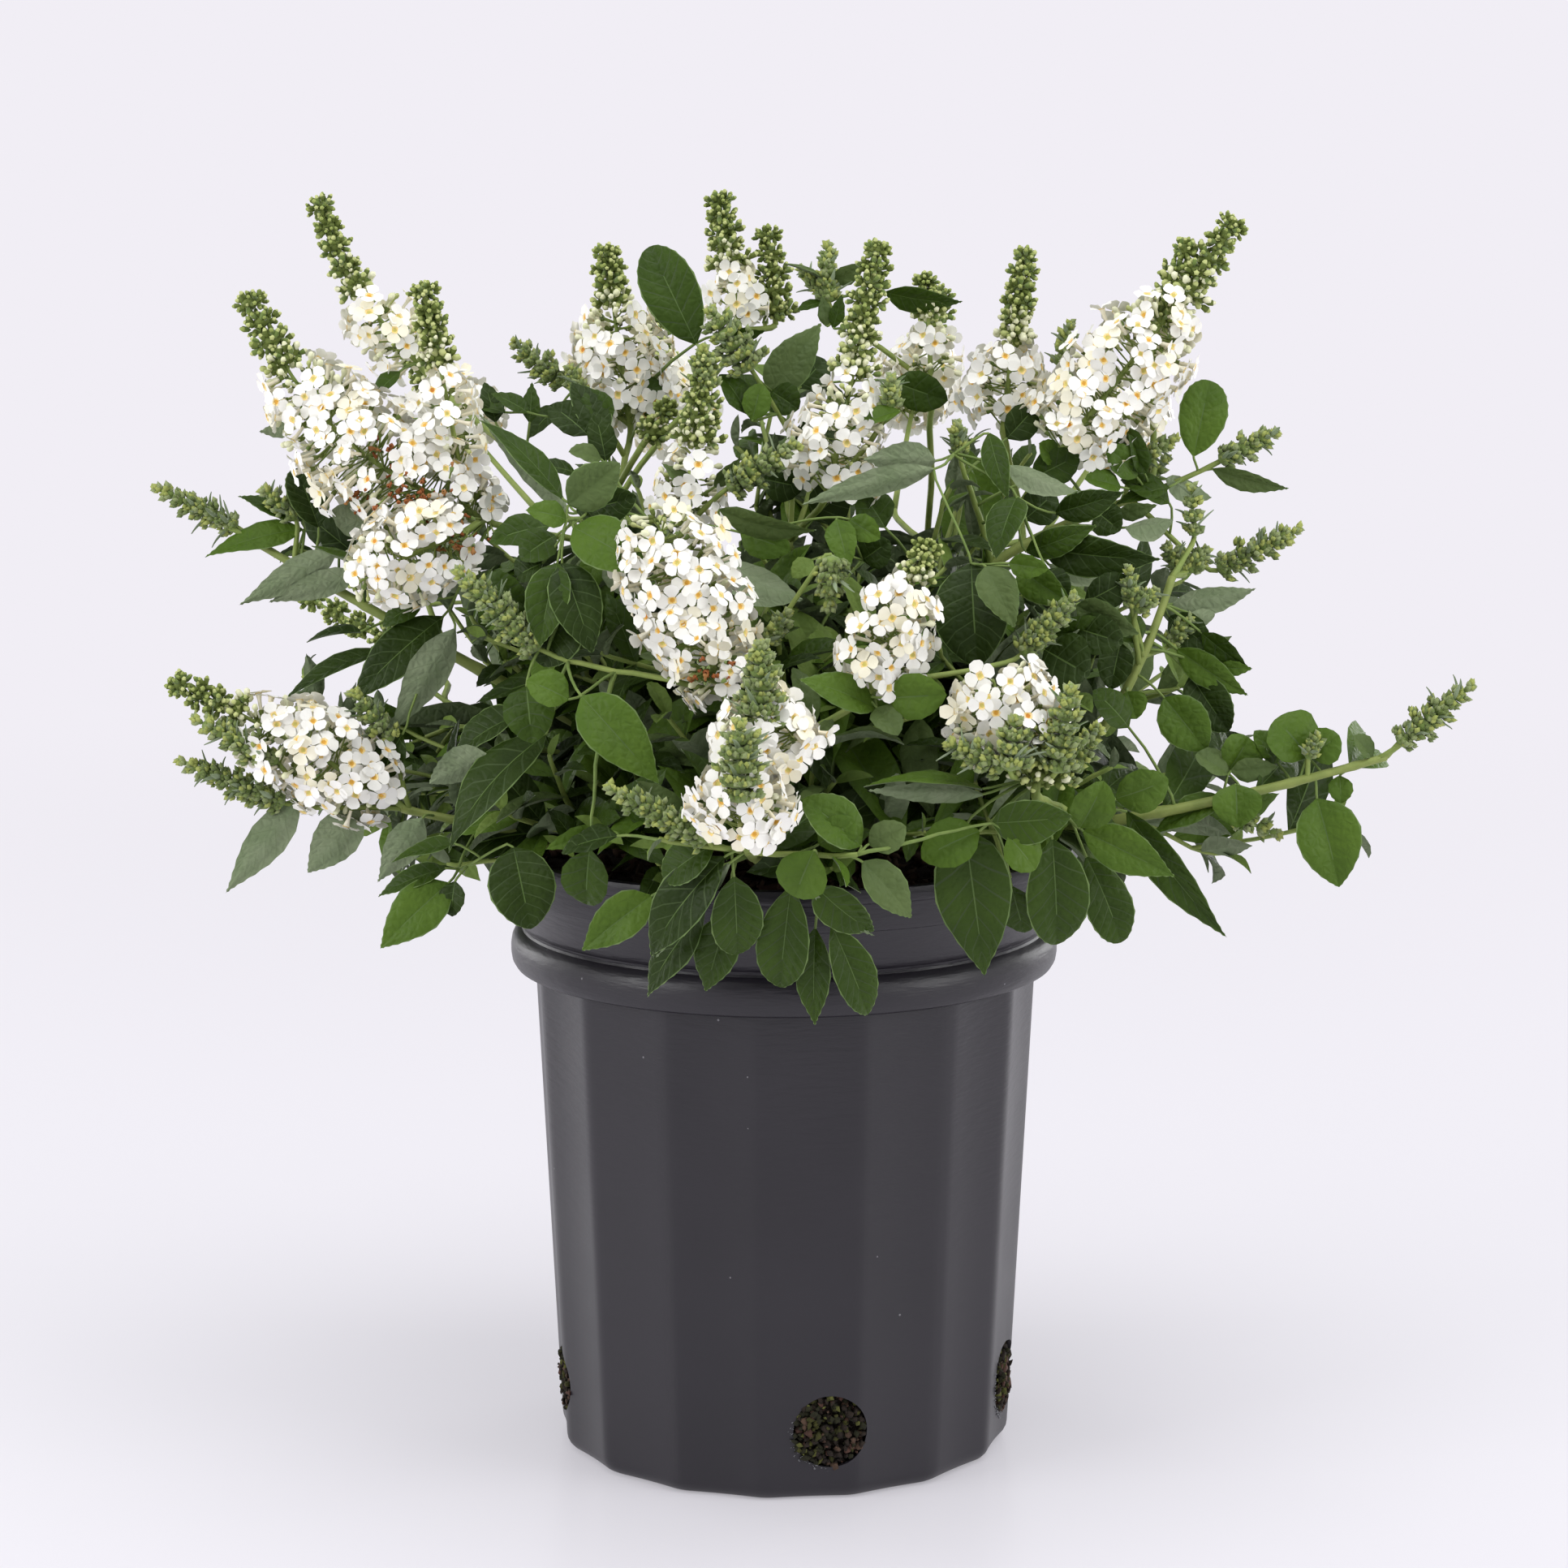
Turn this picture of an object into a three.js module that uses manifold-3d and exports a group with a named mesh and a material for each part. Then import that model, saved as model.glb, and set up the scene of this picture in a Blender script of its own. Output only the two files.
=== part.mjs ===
// A dwarf white butterfly bush in a black fluted nursery pot, in millimetres, +Z up.
// The origin is the middle of the pot's flat underside, and the bush's front is on -Y.
// Azimuths are measured from the front towards +X. The pot and its root ball come first,
// then a short crown stem, tapering boughs, flower spikes and masses of foliage.
import * as THREE from "three";
import { mergeVertices } from "three/addons/utils/BufferGeometryUtils.js";
import Module from "manifold-3d";

const wasm = await Module();
wasm.setup();

// Clearance between neighbours, and how deep a bough's tip goes into its mass.
const GAP = 0.3;
const SOCKET = 10;

// Pot: its radii are measured at the ridges between the flutes.
const POT_HEIGHT = 221;
const RIM_RADIUS = 105.5;
const FOOT_RADIUS = 82;
const BODY_TOP_RADIUS = 90.5;
const BODY_TOP = 175;
const HEEL = 6;
const WALL = 1.6;
const COLLAR_RADIUS = 97.5;
const COLLAR_TOP = 191;
const COLLAR_ROUNDING = 4;
const NECK_RADIUS = 95;
const CREASE_RADIUS = 101.5;
const CREASE_HEIGHT = 206;
const LIP_HEIGHT = 5;
const FLUTES = 16;
const STEPS_PER_FLUTE = 3;
const FLUTE_DEPTH = 2.6;
const FIRST_RIDGE = THREE.MathUtils.degToRad(-5);

// Five round drain holes low in the wall, spaced by whole flutes.
const HOLE_RADIUS = 13;
const HOLE_HEIGHT = 25;
const FIRST_HOLE = THREE.MathUtils.degToRad(-78.5);
const HOLE_STEPS = [4, 3, 3, 3, 3];

// The potting mix stops a little below the rim, and the crown stem stands on it.
// Inside the collar it has shrunk away from the wall.
const MIX_TOP = 209;
const MIX_SHRINK = 2.5;
const STEM_FOOT_RADIUS = 10.5;
const STEM_TOP_RADIUS = 8;
const STEM_TOP = 240;

// Limbs taper from foot to tip. Sides and steps set how finely each kind of solid is faceted.
const BOUGH_FOOT_RADIUS = 3.4;
const BOUGH_TIP_RADIUS = 1.9;
const BOUGH_SIDES = 5;
const BOUGH_STEPS = 4;
const SPIKE_SIDES = 6;
const SPIKE_STEPS = 5;
const MASS_SIDES = 9;
const MASS_RINGS = 6;

// Boughs: the height at which each leaves the stem, the point it arches through and its tip.
// A bough that has a mass ends where it enters that mass.
const boughs = [
  { name: "bough_front", height: 216, through: [-8, -84, 228], tip: [-12, -150, 243] },
  { name: "bough_low_left", height: 218, through: [-58, -44, 226], tip: [-131, -60, 241] },
  { name: "bough_low_right", height: 217, through: [78, -52, 230], tip: [206, -60, 259] },
  { name: "bough_back_low", height: 216, through: [0, 62, 240], mass: "foliage_back_low" },
  { name: "bough_left", height: 226, through: [-92, -24, 276], tip: [-186, -2, 326] },
  { name: "bough_right", height: 228, through: [78, -46, 236], tip: [134, -36, 318] },
  { name: "bough_back_left", height: 223, through: [-64, 38, 246], mass: "foliage_back_left" },
  { name: "bough_back_right", height: 223, through: [64, 38, 246], mass: "foliage_back_right" },
  { name: "bough_front_middle", height: 231, through: [2, -34, 262], mass: "foliage_middle_front" },
  { name: "bough_upper_left", height: 236, through: [-30, -4, 290], mass: "foliage_upper_left" },
  { name: "bough_upper_right", height: 237, through: [46, 2, 296], tip: [128, 6, 342] },
  { name: "bough_back_upper_left", height: 233, through: [-28, 40, 272], mass: "foliage_back_upper_left" },
  { name: "bough_back_upper_right", height: 233, through: [28, 40, 272], mass: "foliage_back_upper_right" },
  { name: "bough_middle", height: 238, through: [0, 7, 276], mass: "foliage_upper_middle" },
];

// Flower spikes: foot, tip and greatest width.
const spikes = [
  { name: "spike_left_tall", foot: [-98, -28, 332], tip: [-185, -5, 412], width: 38 },
  { name: "spike_rear_left_tall", foot: [-96, 30, 340], tip: [-168, 60, 445], width: 25 },
  { name: "spike_left_inner", foot: [-102, -26, 326], tip: [-124, -25, 417], width: 26 },
  { name: "spike_low_left", foot: [-128, -60, 241], tip: [-208, -60, 285], width: 36 },
  { name: "spike_upper_left", foot: [-54, 28, 358], tip: [-64, 45, 427], width: 34 },
  { name: "spike_top_middle", foot: [-20, 76, 340], tip: [-24, 110, 443], width: 26 },
  { name: "spike_front_middle", foot: [-17, -110, 286], tip: [-44, -96, 347], width: 37 },
  { name: "spike_upper_middle", foot: [14, -20, 346], tip: [33, 0, 430], width: 36 },
  { name: "spike_top_right", foot: [53, 56, 348], tip: [52, 70, 415], width: 24 },
  { name: "spike_upper_right", foot: [78, 20, 358], tip: [87, 30, 426], width: 30 },
  { name: "spike_right_tall", foot: [98, 0, 350], tip: [159, 20, 437], width: 42 },
  { name: "spike_front_right", foot: [25, -100, 281], tip: [48, -105, 337], width: 32 },
  { name: "spike_low_right", foot: [64, -112, 252], tip: [92, -134, 296], width: 36 },
  { name: "spike_front_upper", foot: [-5, -132, 249], tip: [-8, -150, 312], width: 28 },
  { name: "spike_front_lower", foot: [-13, -152, 236], tip: [-14, -175, 291], width: 36 },
  { name: "spike_left_tip", foot: [-182, -3, 325], tip: [-223, 0, 346], width: 14 },
  { name: "spike_right_tip", foot: [204, -60, 259], tip: [235, -60, 284], width: 13 },
  { name: "spike_right_upright", foot: [150, 0, 314], tip: [183, 0, 332], width: 17 },
  { name: "spike_back_left", foot: [-92, 104, 325], tip: [-148, 150, 388], width: 34 },
  { name: "spike_back_middle", foot: [-32, 122, 322], tip: [-52, 178, 394], width: 34 },
  { name: "spike_back_right", foot: [42, 120, 325], tip: [62, 176, 404], width: 36 },
  { name: "spike_back_outer", foot: [98, 100, 318], tip: [150, 142, 388], width: 36 },
  { name: "spike_back_low_left", foot: [-128, 98, 262], tip: [-186, 146, 288], width: 30 },
];

// Masses of foliage: centre and half sizes. Each is cut round its limbs and the masses before it.
const masses = [
  { name: "foliage_upper_middle", centre: [0, 8, 342], half: [54, 54, 46] },
  { name: "foliage_middle_front", centre: [-2, -76, 286], half: [54, 44, 47] },
  { name: "foliage_skirt_front", centre: [4, -132, 216], half: [44, 34, 42] },
  { name: "foliage_upper_left", centre: [-76, 0, 330], half: [47, 55, 45] },
  { name: "foliage_upper_right", centre: [80, 6, 330], half: [49, 55, 44] },
  { name: "foliage_middle_left", centre: [-92, -60, 276], half: [55, 52, 45] },
  { name: "foliage_middle_right", centre: [86, -66, 278], half: [53, 52, 47] },
  { name: "foliage_outer_left", centre: [-152, -4, 306], half: [49, 48, 38] },
  { name: "foliage_outer_right", centre: [138, -4, 316], half: [41, 52, 48] },
  { name: "foliage_skirt_left", centre: [-66, -112, 222], half: [53, 38, 35] },
  { name: "foliage_skirt_right", centre: [80, -106, 220], half: [51, 40, 39] },
  { name: "foliage_low_left", centre: [-142, -54, 238], half: [55, 50, 37] },
  { name: "foliage_low_right", centre: [134, -40, 246], half: [41, 54, 41] },
  { name: "foliage_trailing_right", centre: [184, -60, 238], half: [31, 25, 31] },
  { name: "foliage_back_upper_left", centre: [-58, 90, 316], half: [55, 55, 49] },
  { name: "foliage_back_upper_right", centre: [60, 90, 316], half: [55, 55, 49] },
  { name: "foliage_back_low", centre: [0, 136, 242], half: [80, 52, 58] },
  { name: "foliage_back_left", centre: [-122, 72, 252], half: [60, 68, 60] },
  { name: "foliage_back_right", centre: [122, 72, 252], half: [60, 68, 60] },
];

const plastic = { color: 0x2b292d, roughness: 0.42, metalness: 0 };
const pottingMix = { color: 0x2a1f16, roughness: 1, metalness: 0 };
const bark = { color: 0x8c9a52, roughness: 0.8, metalness: 0 };
const blossom = { color: 0xf1f1e6, roughness: 0.7, metalness: 0 };
const leaf = { color: 0x3f6b33, roughness: 0.75, metalness: 0 };

const bush = new THREE.Group();

// A closed geometry as a manifold-3d solid, from its positions alone.
function solidOf(geometry) {
  const bare = geometry.clone();
  bare.deleteAttribute("normal");
  bare.deleteAttribute("uv");
  const merged = mergeVertices(bare, 1e-4);
  return new wasm.Manifold(
    new wasm.Mesh({
      numProp: 3,
      vertProperties: merged.attributes.position.array,
      triVerts: new Uint32Array(merged.index.array),
    }),
  );
}

// The largest body of a solid: a cut can leave crumbs beside it.
function mainBody(solid) {
  const bodies = solid.decompose();
  bodies.sort((a, b) => b.volume() - a.volume());
  return bodies[0];
}

function addNode(name, solid, finish) {
  const mesh = solid.getMesh();
  const geometry = new THREE.BufferGeometry();
  geometry.setAttribute("position", new THREE.BufferAttribute(mesh.vertProperties, 3));
  geometry.setIndex(new THREE.BufferAttribute(mesh.triVerts, 1));
  geometry.computeVertexNormals();
  const node = new THREE.Mesh(geometry, new THREE.MeshStandardMaterial(finish));
  node.name = name;
  bush.add(node);
}

// Moves each vertex of a geometry to place(vertex).
function reshape(geometry, place) {
  const position = geometry.attributes.position;
  const vertex = new THREE.Vector3();
  for (let i = 0; i < position.count; i++) {
    place(vertex.fromBufferAttribute(position, i));
    position.setXYZ(i, vertex.x, vertex.y, vertex.z);
  }
  return geometry;
}

// ---- Pot and root ball ----

// How far the wall stands below its ridges at an azimuth: nothing on a ridge, all between two.
function fluteShare(azimuth) {
  const turn = ((azimuth - FIRST_RIDGE) * FLUTES) / (2 * Math.PI);
  return Math.min(1, Math.abs(turn - Math.round(turn)) * STEPS_PER_FLUTE);
}

// A profile turned about Z. Its flutes run up to the collar, where they stop.
function turned(profile) {
  const points = profile.map(([radius, height]) => new THREE.Vector2(radius, height));
  const segments = FLUTES * STEPS_PER_FLUTE;
  const lathe = new THREE.LatheGeometry(points, segments, FIRST_RIDGE).rotateX(Math.PI / 2);
  const shape = reshape(lathe, (v) => {
    if (v.z > BODY_TOP + GAP) return;
    const share = fluteShare(Math.atan2(v.x, -v.y));
    const factor = 1 - (share * FLUTE_DEPTH) / BODY_TOP_RADIUS;
    v.set(v.x * factor, v.y * factor, v.z);
  });
  return solidOf(shape);
}

// The pot's outer side, from the middle of its underside up to the rim.
function outerSide() {
  return [
    [0, 0],
    [FOOT_RADIUS - HEEL, 0],
    [FOOT_RADIUS, HEEL],
    [BODY_TOP_RADIUS, BODY_TOP],
    [COLLAR_RADIUS, BODY_TOP + COLLAR_ROUNDING],
    [COLLAR_RADIUS, COLLAR_TOP - COLLAR_ROUNDING / 2],
    [NECK_RADIUS, COLLAR_TOP + COLLAR_ROUNDING / 2],
    [CREASE_RADIUS, CREASE_HEIGHT],
    [RIM_RADIUS, POT_HEIGHT - LIP_HEIGHT],
    [RIM_RADIUS, POT_HEIGHT],
  ];
}

// The hollow's side, from the middle of the pot's floor up to the crease, moved in by a margin.
function innerSide(margin, shrink) {
  const inset = WALL + margin;
  return [
    [0, inset],
    [FOOT_RADIUS - HEEL - margin, inset],
    [FOOT_RADIUS - inset, HEEL],
    [BODY_TOP_RADIUS - inset, BODY_TOP],
    [NECK_RADIUS - inset - shrink, COLLAR_TOP],
    [CREASE_RADIUS - inset, CREASE_HEIGHT],
  ];
}

function makePot() {
  const rimInside = [CREASE_RADIUS, POT_HEIGHT];
  let pot = turned([...outerSide(), rimInside, ...innerSide(0, 0).reverse()]);
  let azimuth = FIRST_HOLE;
  for (const step of HOLE_STEPS) {
    const drill = new THREE.CylinderGeometry(HOLE_RADIUS, HOLE_RADIUS, FOOT_RADIUS, 12)
      .translate(0, -FOOT_RADIUS, 0)
      .rotateZ(azimuth)
      .translate(0, 0, HOLE_HEIGHT);
    pot = pot.subtract(solidOf(drill));
    azimuth += (step * 2 * Math.PI) / FLUTES;
  }
  return pot;
}

function makeRootBall() {
  const rimOfMix = [CREASE_RADIUS - WALL - GAP, MIX_TOP];
  return turned([...innerSide(GAP, MIX_SHRINK), rimOfMix, [0, MIX_TOP]]);
}

// The space in and round the pot that hanging foliage leaves free.
function potKeepOut() {
  const radius = RIM_RADIUS + 3;
  const space = new THREE.CylinderGeometry(radius, radius, POT_HEIGHT, 24).rotateX(Math.PI / 2);
  return solidOf(space.translate(0, 0, POT_HEIGHT / 2 + GAP));
}

// ---- Limbs, spikes and masses ----

// A rod bent along a curve, with radiusAt(t, turn) on the way and a margin all round.
function limb(curve, sides, steps, margin, radiusAt) {
  const rod = new THREE.CylinderGeometry(1, 1, 1, sides, steps);
  reshape(rod, (v) => {
    const t = THREE.MathUtils.clamp(v.y + 0.5, 0, 1);
    const along = curve.getTangent(t);
    const side = new THREE.Vector3(-along.y, along.x, 0).normalize();
    const over = side.clone().cross(along);
    const reach = radiusAt(t, Math.atan2(v.z, v.x)) + margin;
    const offset = side.multiplyScalar(v.x * reach).addScaledVector(over, v.z * reach);
    const overrun = t < 0.01 ? -margin : t > 0.99 ? margin : 0;
    v.copy(curve.getPoint(t)).addScaledVector(along, overrun).add(offset);
  });
  return solidOf(rod);
}

// The end of a bough that heads for a mass: a socket's depth under the mass's surface.
function entryOf(massName, from) {
  const { centre, half } = masses.find((mass) => mass.name === massName);
  const middle = new THREE.Vector3(...centre);
  const outward = from.clone().sub(middle);
  const size = new THREE.Vector3(...half);
  const reach = outward.length() / outward.clone().divide(size).length();
  return middle.addScaledVector(outward.normalize(), Math.max(0, reach - SOCKET));
}

// The short stem that stands on the potting mix and carries every bough.
function makeStem(margin) {
  const [top, foot] = [STEM_TOP_RADIUS + margin, STEM_FOOT_RADIUS + margin];
  const height = STEM_TOP - MIX_TOP - GAP + 2 * margin;
  const stem = new THREE.CylinderGeometry(top, foot, height, 12).rotateX(Math.PI / 2);
  return solidOf(stem.translate(0, 0, (STEM_TOP + MIX_TOP + GAP) / 2));
}

function makeBough(bough, margin) {
  const through = new THREE.Vector3(...bough.through);
  const tip = bough.mass ? entryOf(bough.mass, through) : new THREE.Vector3(...bough.tip);
  const heading = new THREE.Vector3(tip.x, tip.y, 0).setLength(STEM_TOP_RADIUS - 3);
  const foot = new THREE.Vector3(heading.x, heading.y, bough.height);
  const curve = new THREE.CatmullRomCurve3([foot, through, tip]);
  const taper = (t) => THREE.MathUtils.lerp(BOUGH_FOOT_RADIUS, BOUGH_TIP_RADIUS, t);
  return limb(curve, BOUGH_SIDES, BOUGH_STEPS, margin, taper);
}

// A spike is widest in its lower third, draws in to a bud tip and is uneven all round.
function makeSpike(spike, margin, seed) {
  const foot = new THREE.Vector3(...spike.foot);
  const tip = new THREE.Vector3(...spike.tip);
  const curve = new THREE.LineCurve3(foot, tip);
  const swell = (t) => 0.34 + 0.66 * Math.sin(Math.PI * Math.min(1, 0.2 + t * 0.8)) ** 0.8;
  const outline = (t, turn) => {
    const uneven = 1 + 0.1 * Math.sin(2 * turn + 5 * t + seed);
    return (spike.width / 2) * (t === 1 ? 0.16 : swell(t) * 0.8) * uneven;
  };
  return limb(curve, SPIKE_SIDES, SPIKE_STEPS, margin, outline);
}

// A mass is a ball with lumps of its own, stretched to its three half sizes.
function makeMass(mass, margin, seed) {
  const ball = new THREE.SphereGeometry(1, MASS_SIDES, MASS_RINGS).rotateX(Math.PI / 2);
  reshape(ball, (v) => {
    const turn = Math.atan2(v.y, v.x);
    const level = Math.hypot(v.x, v.y);
    const lumps = 0.07 * Math.sin(3 * turn + seed) * level + 0.06 * Math.sin(4 * v.z + 2 * seed);
    const leafy = 0.05 * Math.sin(5 * v.x + seed) * Math.cos(6 * v.y - seed);
    const reach = 0.95 + lumps + leafy;
    const [x, y, z] = mass.half.map((size) => size + margin);
    v.set(v.x * x * reach, v.y * y * reach, v.z * z * reach);
  });
  return solidOf(ball.translate(...mass.centre));
}

// ---- Assembly: each piece is cut round the ones before it ----

addNode("pot", makePot(), plastic);
addNode("root_ball", makeRootBall(), pottingMix);
addNode("crown_stem", makeStem(0), bark);

let taken = makeStem(GAP);

boughs.forEach((bough) => {
  addNode(bough.name, mainBody(makeBough(bough, 0).subtract(taken)), bark);
  taken = taken.add(makeBough(bough, GAP));
});

spikes.forEach((spike, i) => {
  addNode(spike.name, mainBody(makeSpike(spike, 0, i).subtract(taken)), blossom);
  taken = taken.add(makeSpike(spike, GAP, i));
});

taken = taken.add(potKeepOut());

masses.forEach((mass, i) => {
  addNode(mass.name, mainBody(makeMass(mass, 0, i).subtract(taken)), leaf);
  taken = taken.add(makeMass(mass, GAP, i));
});

export default bush;
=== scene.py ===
import math

import bpy
import numpy as np
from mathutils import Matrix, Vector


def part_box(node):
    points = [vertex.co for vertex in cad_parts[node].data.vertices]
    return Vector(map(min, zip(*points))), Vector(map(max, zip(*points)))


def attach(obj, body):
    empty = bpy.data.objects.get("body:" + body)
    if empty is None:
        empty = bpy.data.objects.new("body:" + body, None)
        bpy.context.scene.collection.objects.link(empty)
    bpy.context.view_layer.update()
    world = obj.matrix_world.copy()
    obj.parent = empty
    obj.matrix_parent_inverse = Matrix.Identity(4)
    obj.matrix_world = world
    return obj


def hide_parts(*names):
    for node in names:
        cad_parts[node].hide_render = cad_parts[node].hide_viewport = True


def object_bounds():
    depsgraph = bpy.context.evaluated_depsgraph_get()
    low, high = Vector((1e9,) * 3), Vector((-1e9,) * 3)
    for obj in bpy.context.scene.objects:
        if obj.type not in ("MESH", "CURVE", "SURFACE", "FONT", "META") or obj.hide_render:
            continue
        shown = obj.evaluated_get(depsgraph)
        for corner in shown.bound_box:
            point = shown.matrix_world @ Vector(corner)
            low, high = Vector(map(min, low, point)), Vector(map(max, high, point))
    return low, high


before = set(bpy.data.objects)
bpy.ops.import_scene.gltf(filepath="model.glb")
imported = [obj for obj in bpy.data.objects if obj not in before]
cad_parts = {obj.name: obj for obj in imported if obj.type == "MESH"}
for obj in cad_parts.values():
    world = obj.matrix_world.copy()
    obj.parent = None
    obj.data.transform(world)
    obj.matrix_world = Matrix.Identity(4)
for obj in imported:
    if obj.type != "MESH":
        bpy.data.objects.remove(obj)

# A dwarf white butterfly bush in a black fluted nursery pot.
# Sizes and places are in millimetres, and a piece turns into metres when its mesh is made.
cadLow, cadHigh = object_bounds()
mm = 0.001
rng = np.random.default_rng(62)
upwards = np.array([0.0, 0.0, 1.0])
crownFoot = np.array([0.0, 0.0, 235.0])


def unit(vector):
    vector = np.asarray(vector, float)
    return vector / np.maximum(np.linalg.norm(vector, axis=-1, keepdims=True), 1e-9)


def mix(low, high, share):
    return low + (high - low) * share


# Camera: looks along +Y and a little down. Its picture is a square of 1932 pixels.
camera = {"back": 1500, "height": 496, "pitch": math.radians(9.71), "focal": 5257,
          "frame": 1932, "middle": (965.4, 966), "sensor": 36}


def makeCamera():
    lens = bpy.data.cameras.new("studioCamera")
    lens.sensor_width = camera["sensor"]
    lens.lens = camera["focal"] / camera["frame"] * camera["sensor"]
    lens.clip_end = 100
    rig = bpy.data.objects.new("studioCamera", lens)
    rig.location = (0, -camera["back"] * mm, camera["height"] * mm)
    rig.rotation_euler = (math.pi / 2 - camera["pitch"], 0, 0)
    bpy.context.scene.collection.objects.link(rig)
    bpy.context.scene.camera = rig


# The place that the camera sees at a pixel, at a depth behind (+) or before (-) the pot's middle.
def seen(across, down, depth):
    cosine, sine = math.cos(camera["pitch"]), math.sin(camera["pitch"])
    rise = (camera["middle"][1] - down) / camera["focal"]
    reach = depth + camera["back"]
    lift = reach * (rise * cosine - sine) / (cosine + rise * sine)
    away = reach * cosine - lift * sine
    side = (across - camera["middle"][0]) * away / camera["focal"]
    return np.array([side, depth, camera["height"] + lift])


# The pixel that a place falls on, and pixels per millimetre there.
def onView(place):
    place = np.asarray(place, float)
    cosine, sine = math.cos(camera["pitch"]), math.sin(camera["pitch"])
    reach, lift = place[..., 1] + camera["back"], place[..., 2] - camera["height"]
    away = reach * cosine - lift * sine
    rise = reach * sine + lift * cosine
    scale = camera["focal"] / away
    return camera["middle"][0] + place[..., 0] * scale, camera["middle"][1] - rise * scale, scale


makeCamera()
print("camera")


# Angles of equal steps round a full turn.
def anglesRound(sides):
    return np.arange(sides) * 2 * math.pi / sides


# Directions at some angles between two directions that cross.
def fanOut(side, over, angles):
    return np.cos(angles)[:, None] * side + np.sin(angles)[:, None] * over


# Piles: points and faces gathered for one piece, which becomes one joined mesh.
def newPile():
    return {"points": [], "fours": [], "threes": [], "fourTints": [], "threeTints": [], "count": 0}


def heap(pile, points, fours=(), threes=(), fourTint=0, threeTint=0):
    for faces, kind, tint in ((fours, "four", fourTint), (threes, "three", threeTint)):
        faces = np.asarray(faces, int)
        if len(faces):
            pile[kind + "s"].append(faces + pile["count"])
            pile[kind + "Tints"].append(np.broadcast_to(tint, len(faces)))
    pile["points"].append(points)
    pile["count"] += len(points)


def makePiece(name, pile, materials, replaced=()):
    points = np.concatenate(pile["points"]) * mm
    corners, sizes, tints = [], [], []
    for kind, size in (("four", 4), ("three", 3)):
        if pile[kind + "s"]:
            faces = np.concatenate(pile[kind + "s"])
            corners.append(faces.ravel())
            sizes.append(np.full(len(faces), size))
            tints.append(np.concatenate(pile[kind + "Tints"]))
    corners, sizes, tints = (np.concatenate(x).astype(np.int32) for x in (corners, sizes, tints))
    mesh = bpy.data.meshes.new(name)
    mesh.vertices.add(len(points))
    mesh.vertices.foreach_set("co", points.astype(np.float32).ravel())
    mesh.loops.add(len(corners))
    mesh.loops.foreach_set("vertex_index", corners)
    mesh.polygons.add(len(sizes))
    mesh.polygons.foreach_set("loop_start", (np.cumsum(sizes) - sizes).astype(np.int32))
    mesh.polygons.foreach_set("material_index", tints)
    mesh.update(calc_edges=True)
    mesh.validate()
    mesh.shade_smooth()
    for material in materials:
        mesh.materials.append(material)
    piece = bpy.data.objects.new(name, mesh)
    bpy.context.scene.collection.objects.link(piece)
    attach(piece, "root")
    if replaced:
        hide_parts(*replaced)
    print(name, sum(sizes - 2), "triangles")
    return piece


# Faces of a grid of points, row by row; wrapped joins its last column to its first.
def gridFaces(rows, columns, wrapped=False):
    grid = np.arange(rows * columns).reshape(rows, columns)
    if wrapped:
        grid = np.column_stack([grid, grid[:, 0]])
    return np.stack([grid[:-1, :-1], grid[1:, :-1], grid[1:, 1:], grid[:-1, 1:]], -1).reshape(-1, 4)


# A small shape turned about its own Z, from (radius, height) pairs going up; radius 0 is a point.
def turnedShape(profile, sides):
    turns = anglesRound(sides)
    points, fours, threes, starts = [], [], [], []
    for radius, height in profile:
        starts.append(len(points))
        ring = turns if radius else turns[:1]
        points += [(radius * math.cos(a), radius * math.sin(a), height) for a in ring]
    for row in range(len(profile) - 1):
        low, high = starts[row], starts[row + 1]
        for j in range(sides):
            k = (j + 1) % sides
            if profile[row][0] == 0:
                threes.append((low, high + k, high + j))
            elif profile[row + 1][0] == 0:
                threes.append((low + j, low + k, high))
            else:
                fours.append((low + j, low + k, high + k, high + j))
    return {"points": np.array(points, float), "fours": fours, "threes": threes}


# Frames whose third axis is the given direction, spun about it.
def frames(directions, spins):
    z = unit(directions)
    helper = np.where(np.abs(z[:, 2:]) > 0.9, [[1.0, 0, 0]], [[0, 0, 1.0]])
    x = unit(np.cross(helper, z))
    y = np.cross(z, x)
    c, s = np.cos(spins)[:, None], np.sin(spins)[:, None]
    return np.stack([x * c + y * s, y * c - x * s, z], -1)


# Copies of a shape, one at each place.
def stamp(pile, shape, places, directions, scales, tints=0, spins=None):
    count = len(places)
    if not count:
        return
    places = np.asarray(places, float)
    spins = rng.uniform(0, 2 * math.pi, count) if spins is None else np.asarray(spins, float)
    scales = np.asarray(scales, float)
    scales = scales[:, None, None] if scales.ndim == 1 else scales[:, None, :]
    turned = np.einsum("nij,npj->npi", frames(np.asarray(directions, float), spins),
                       shape["points"][None] * scales)
    size = len(shape["points"])
    shifts = (np.arange(count) * size)[:, None, None]
    tints = np.broadcast_to(tints, count)
    fours = np.asarray(shape["fours"], int).reshape(-1, 4)
    threes = np.asarray(shape["threes"], int).reshape(-1, 3)
    heap(pile, (turned + places[:, None]).reshape(-1, 3),
         (fours[None] + shifts).reshape(-1, 4), (threes[None] + shifts).reshape(-1, 3),
         np.repeat(tints, len(fours)), np.repeat(tints, len(threes)))


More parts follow.
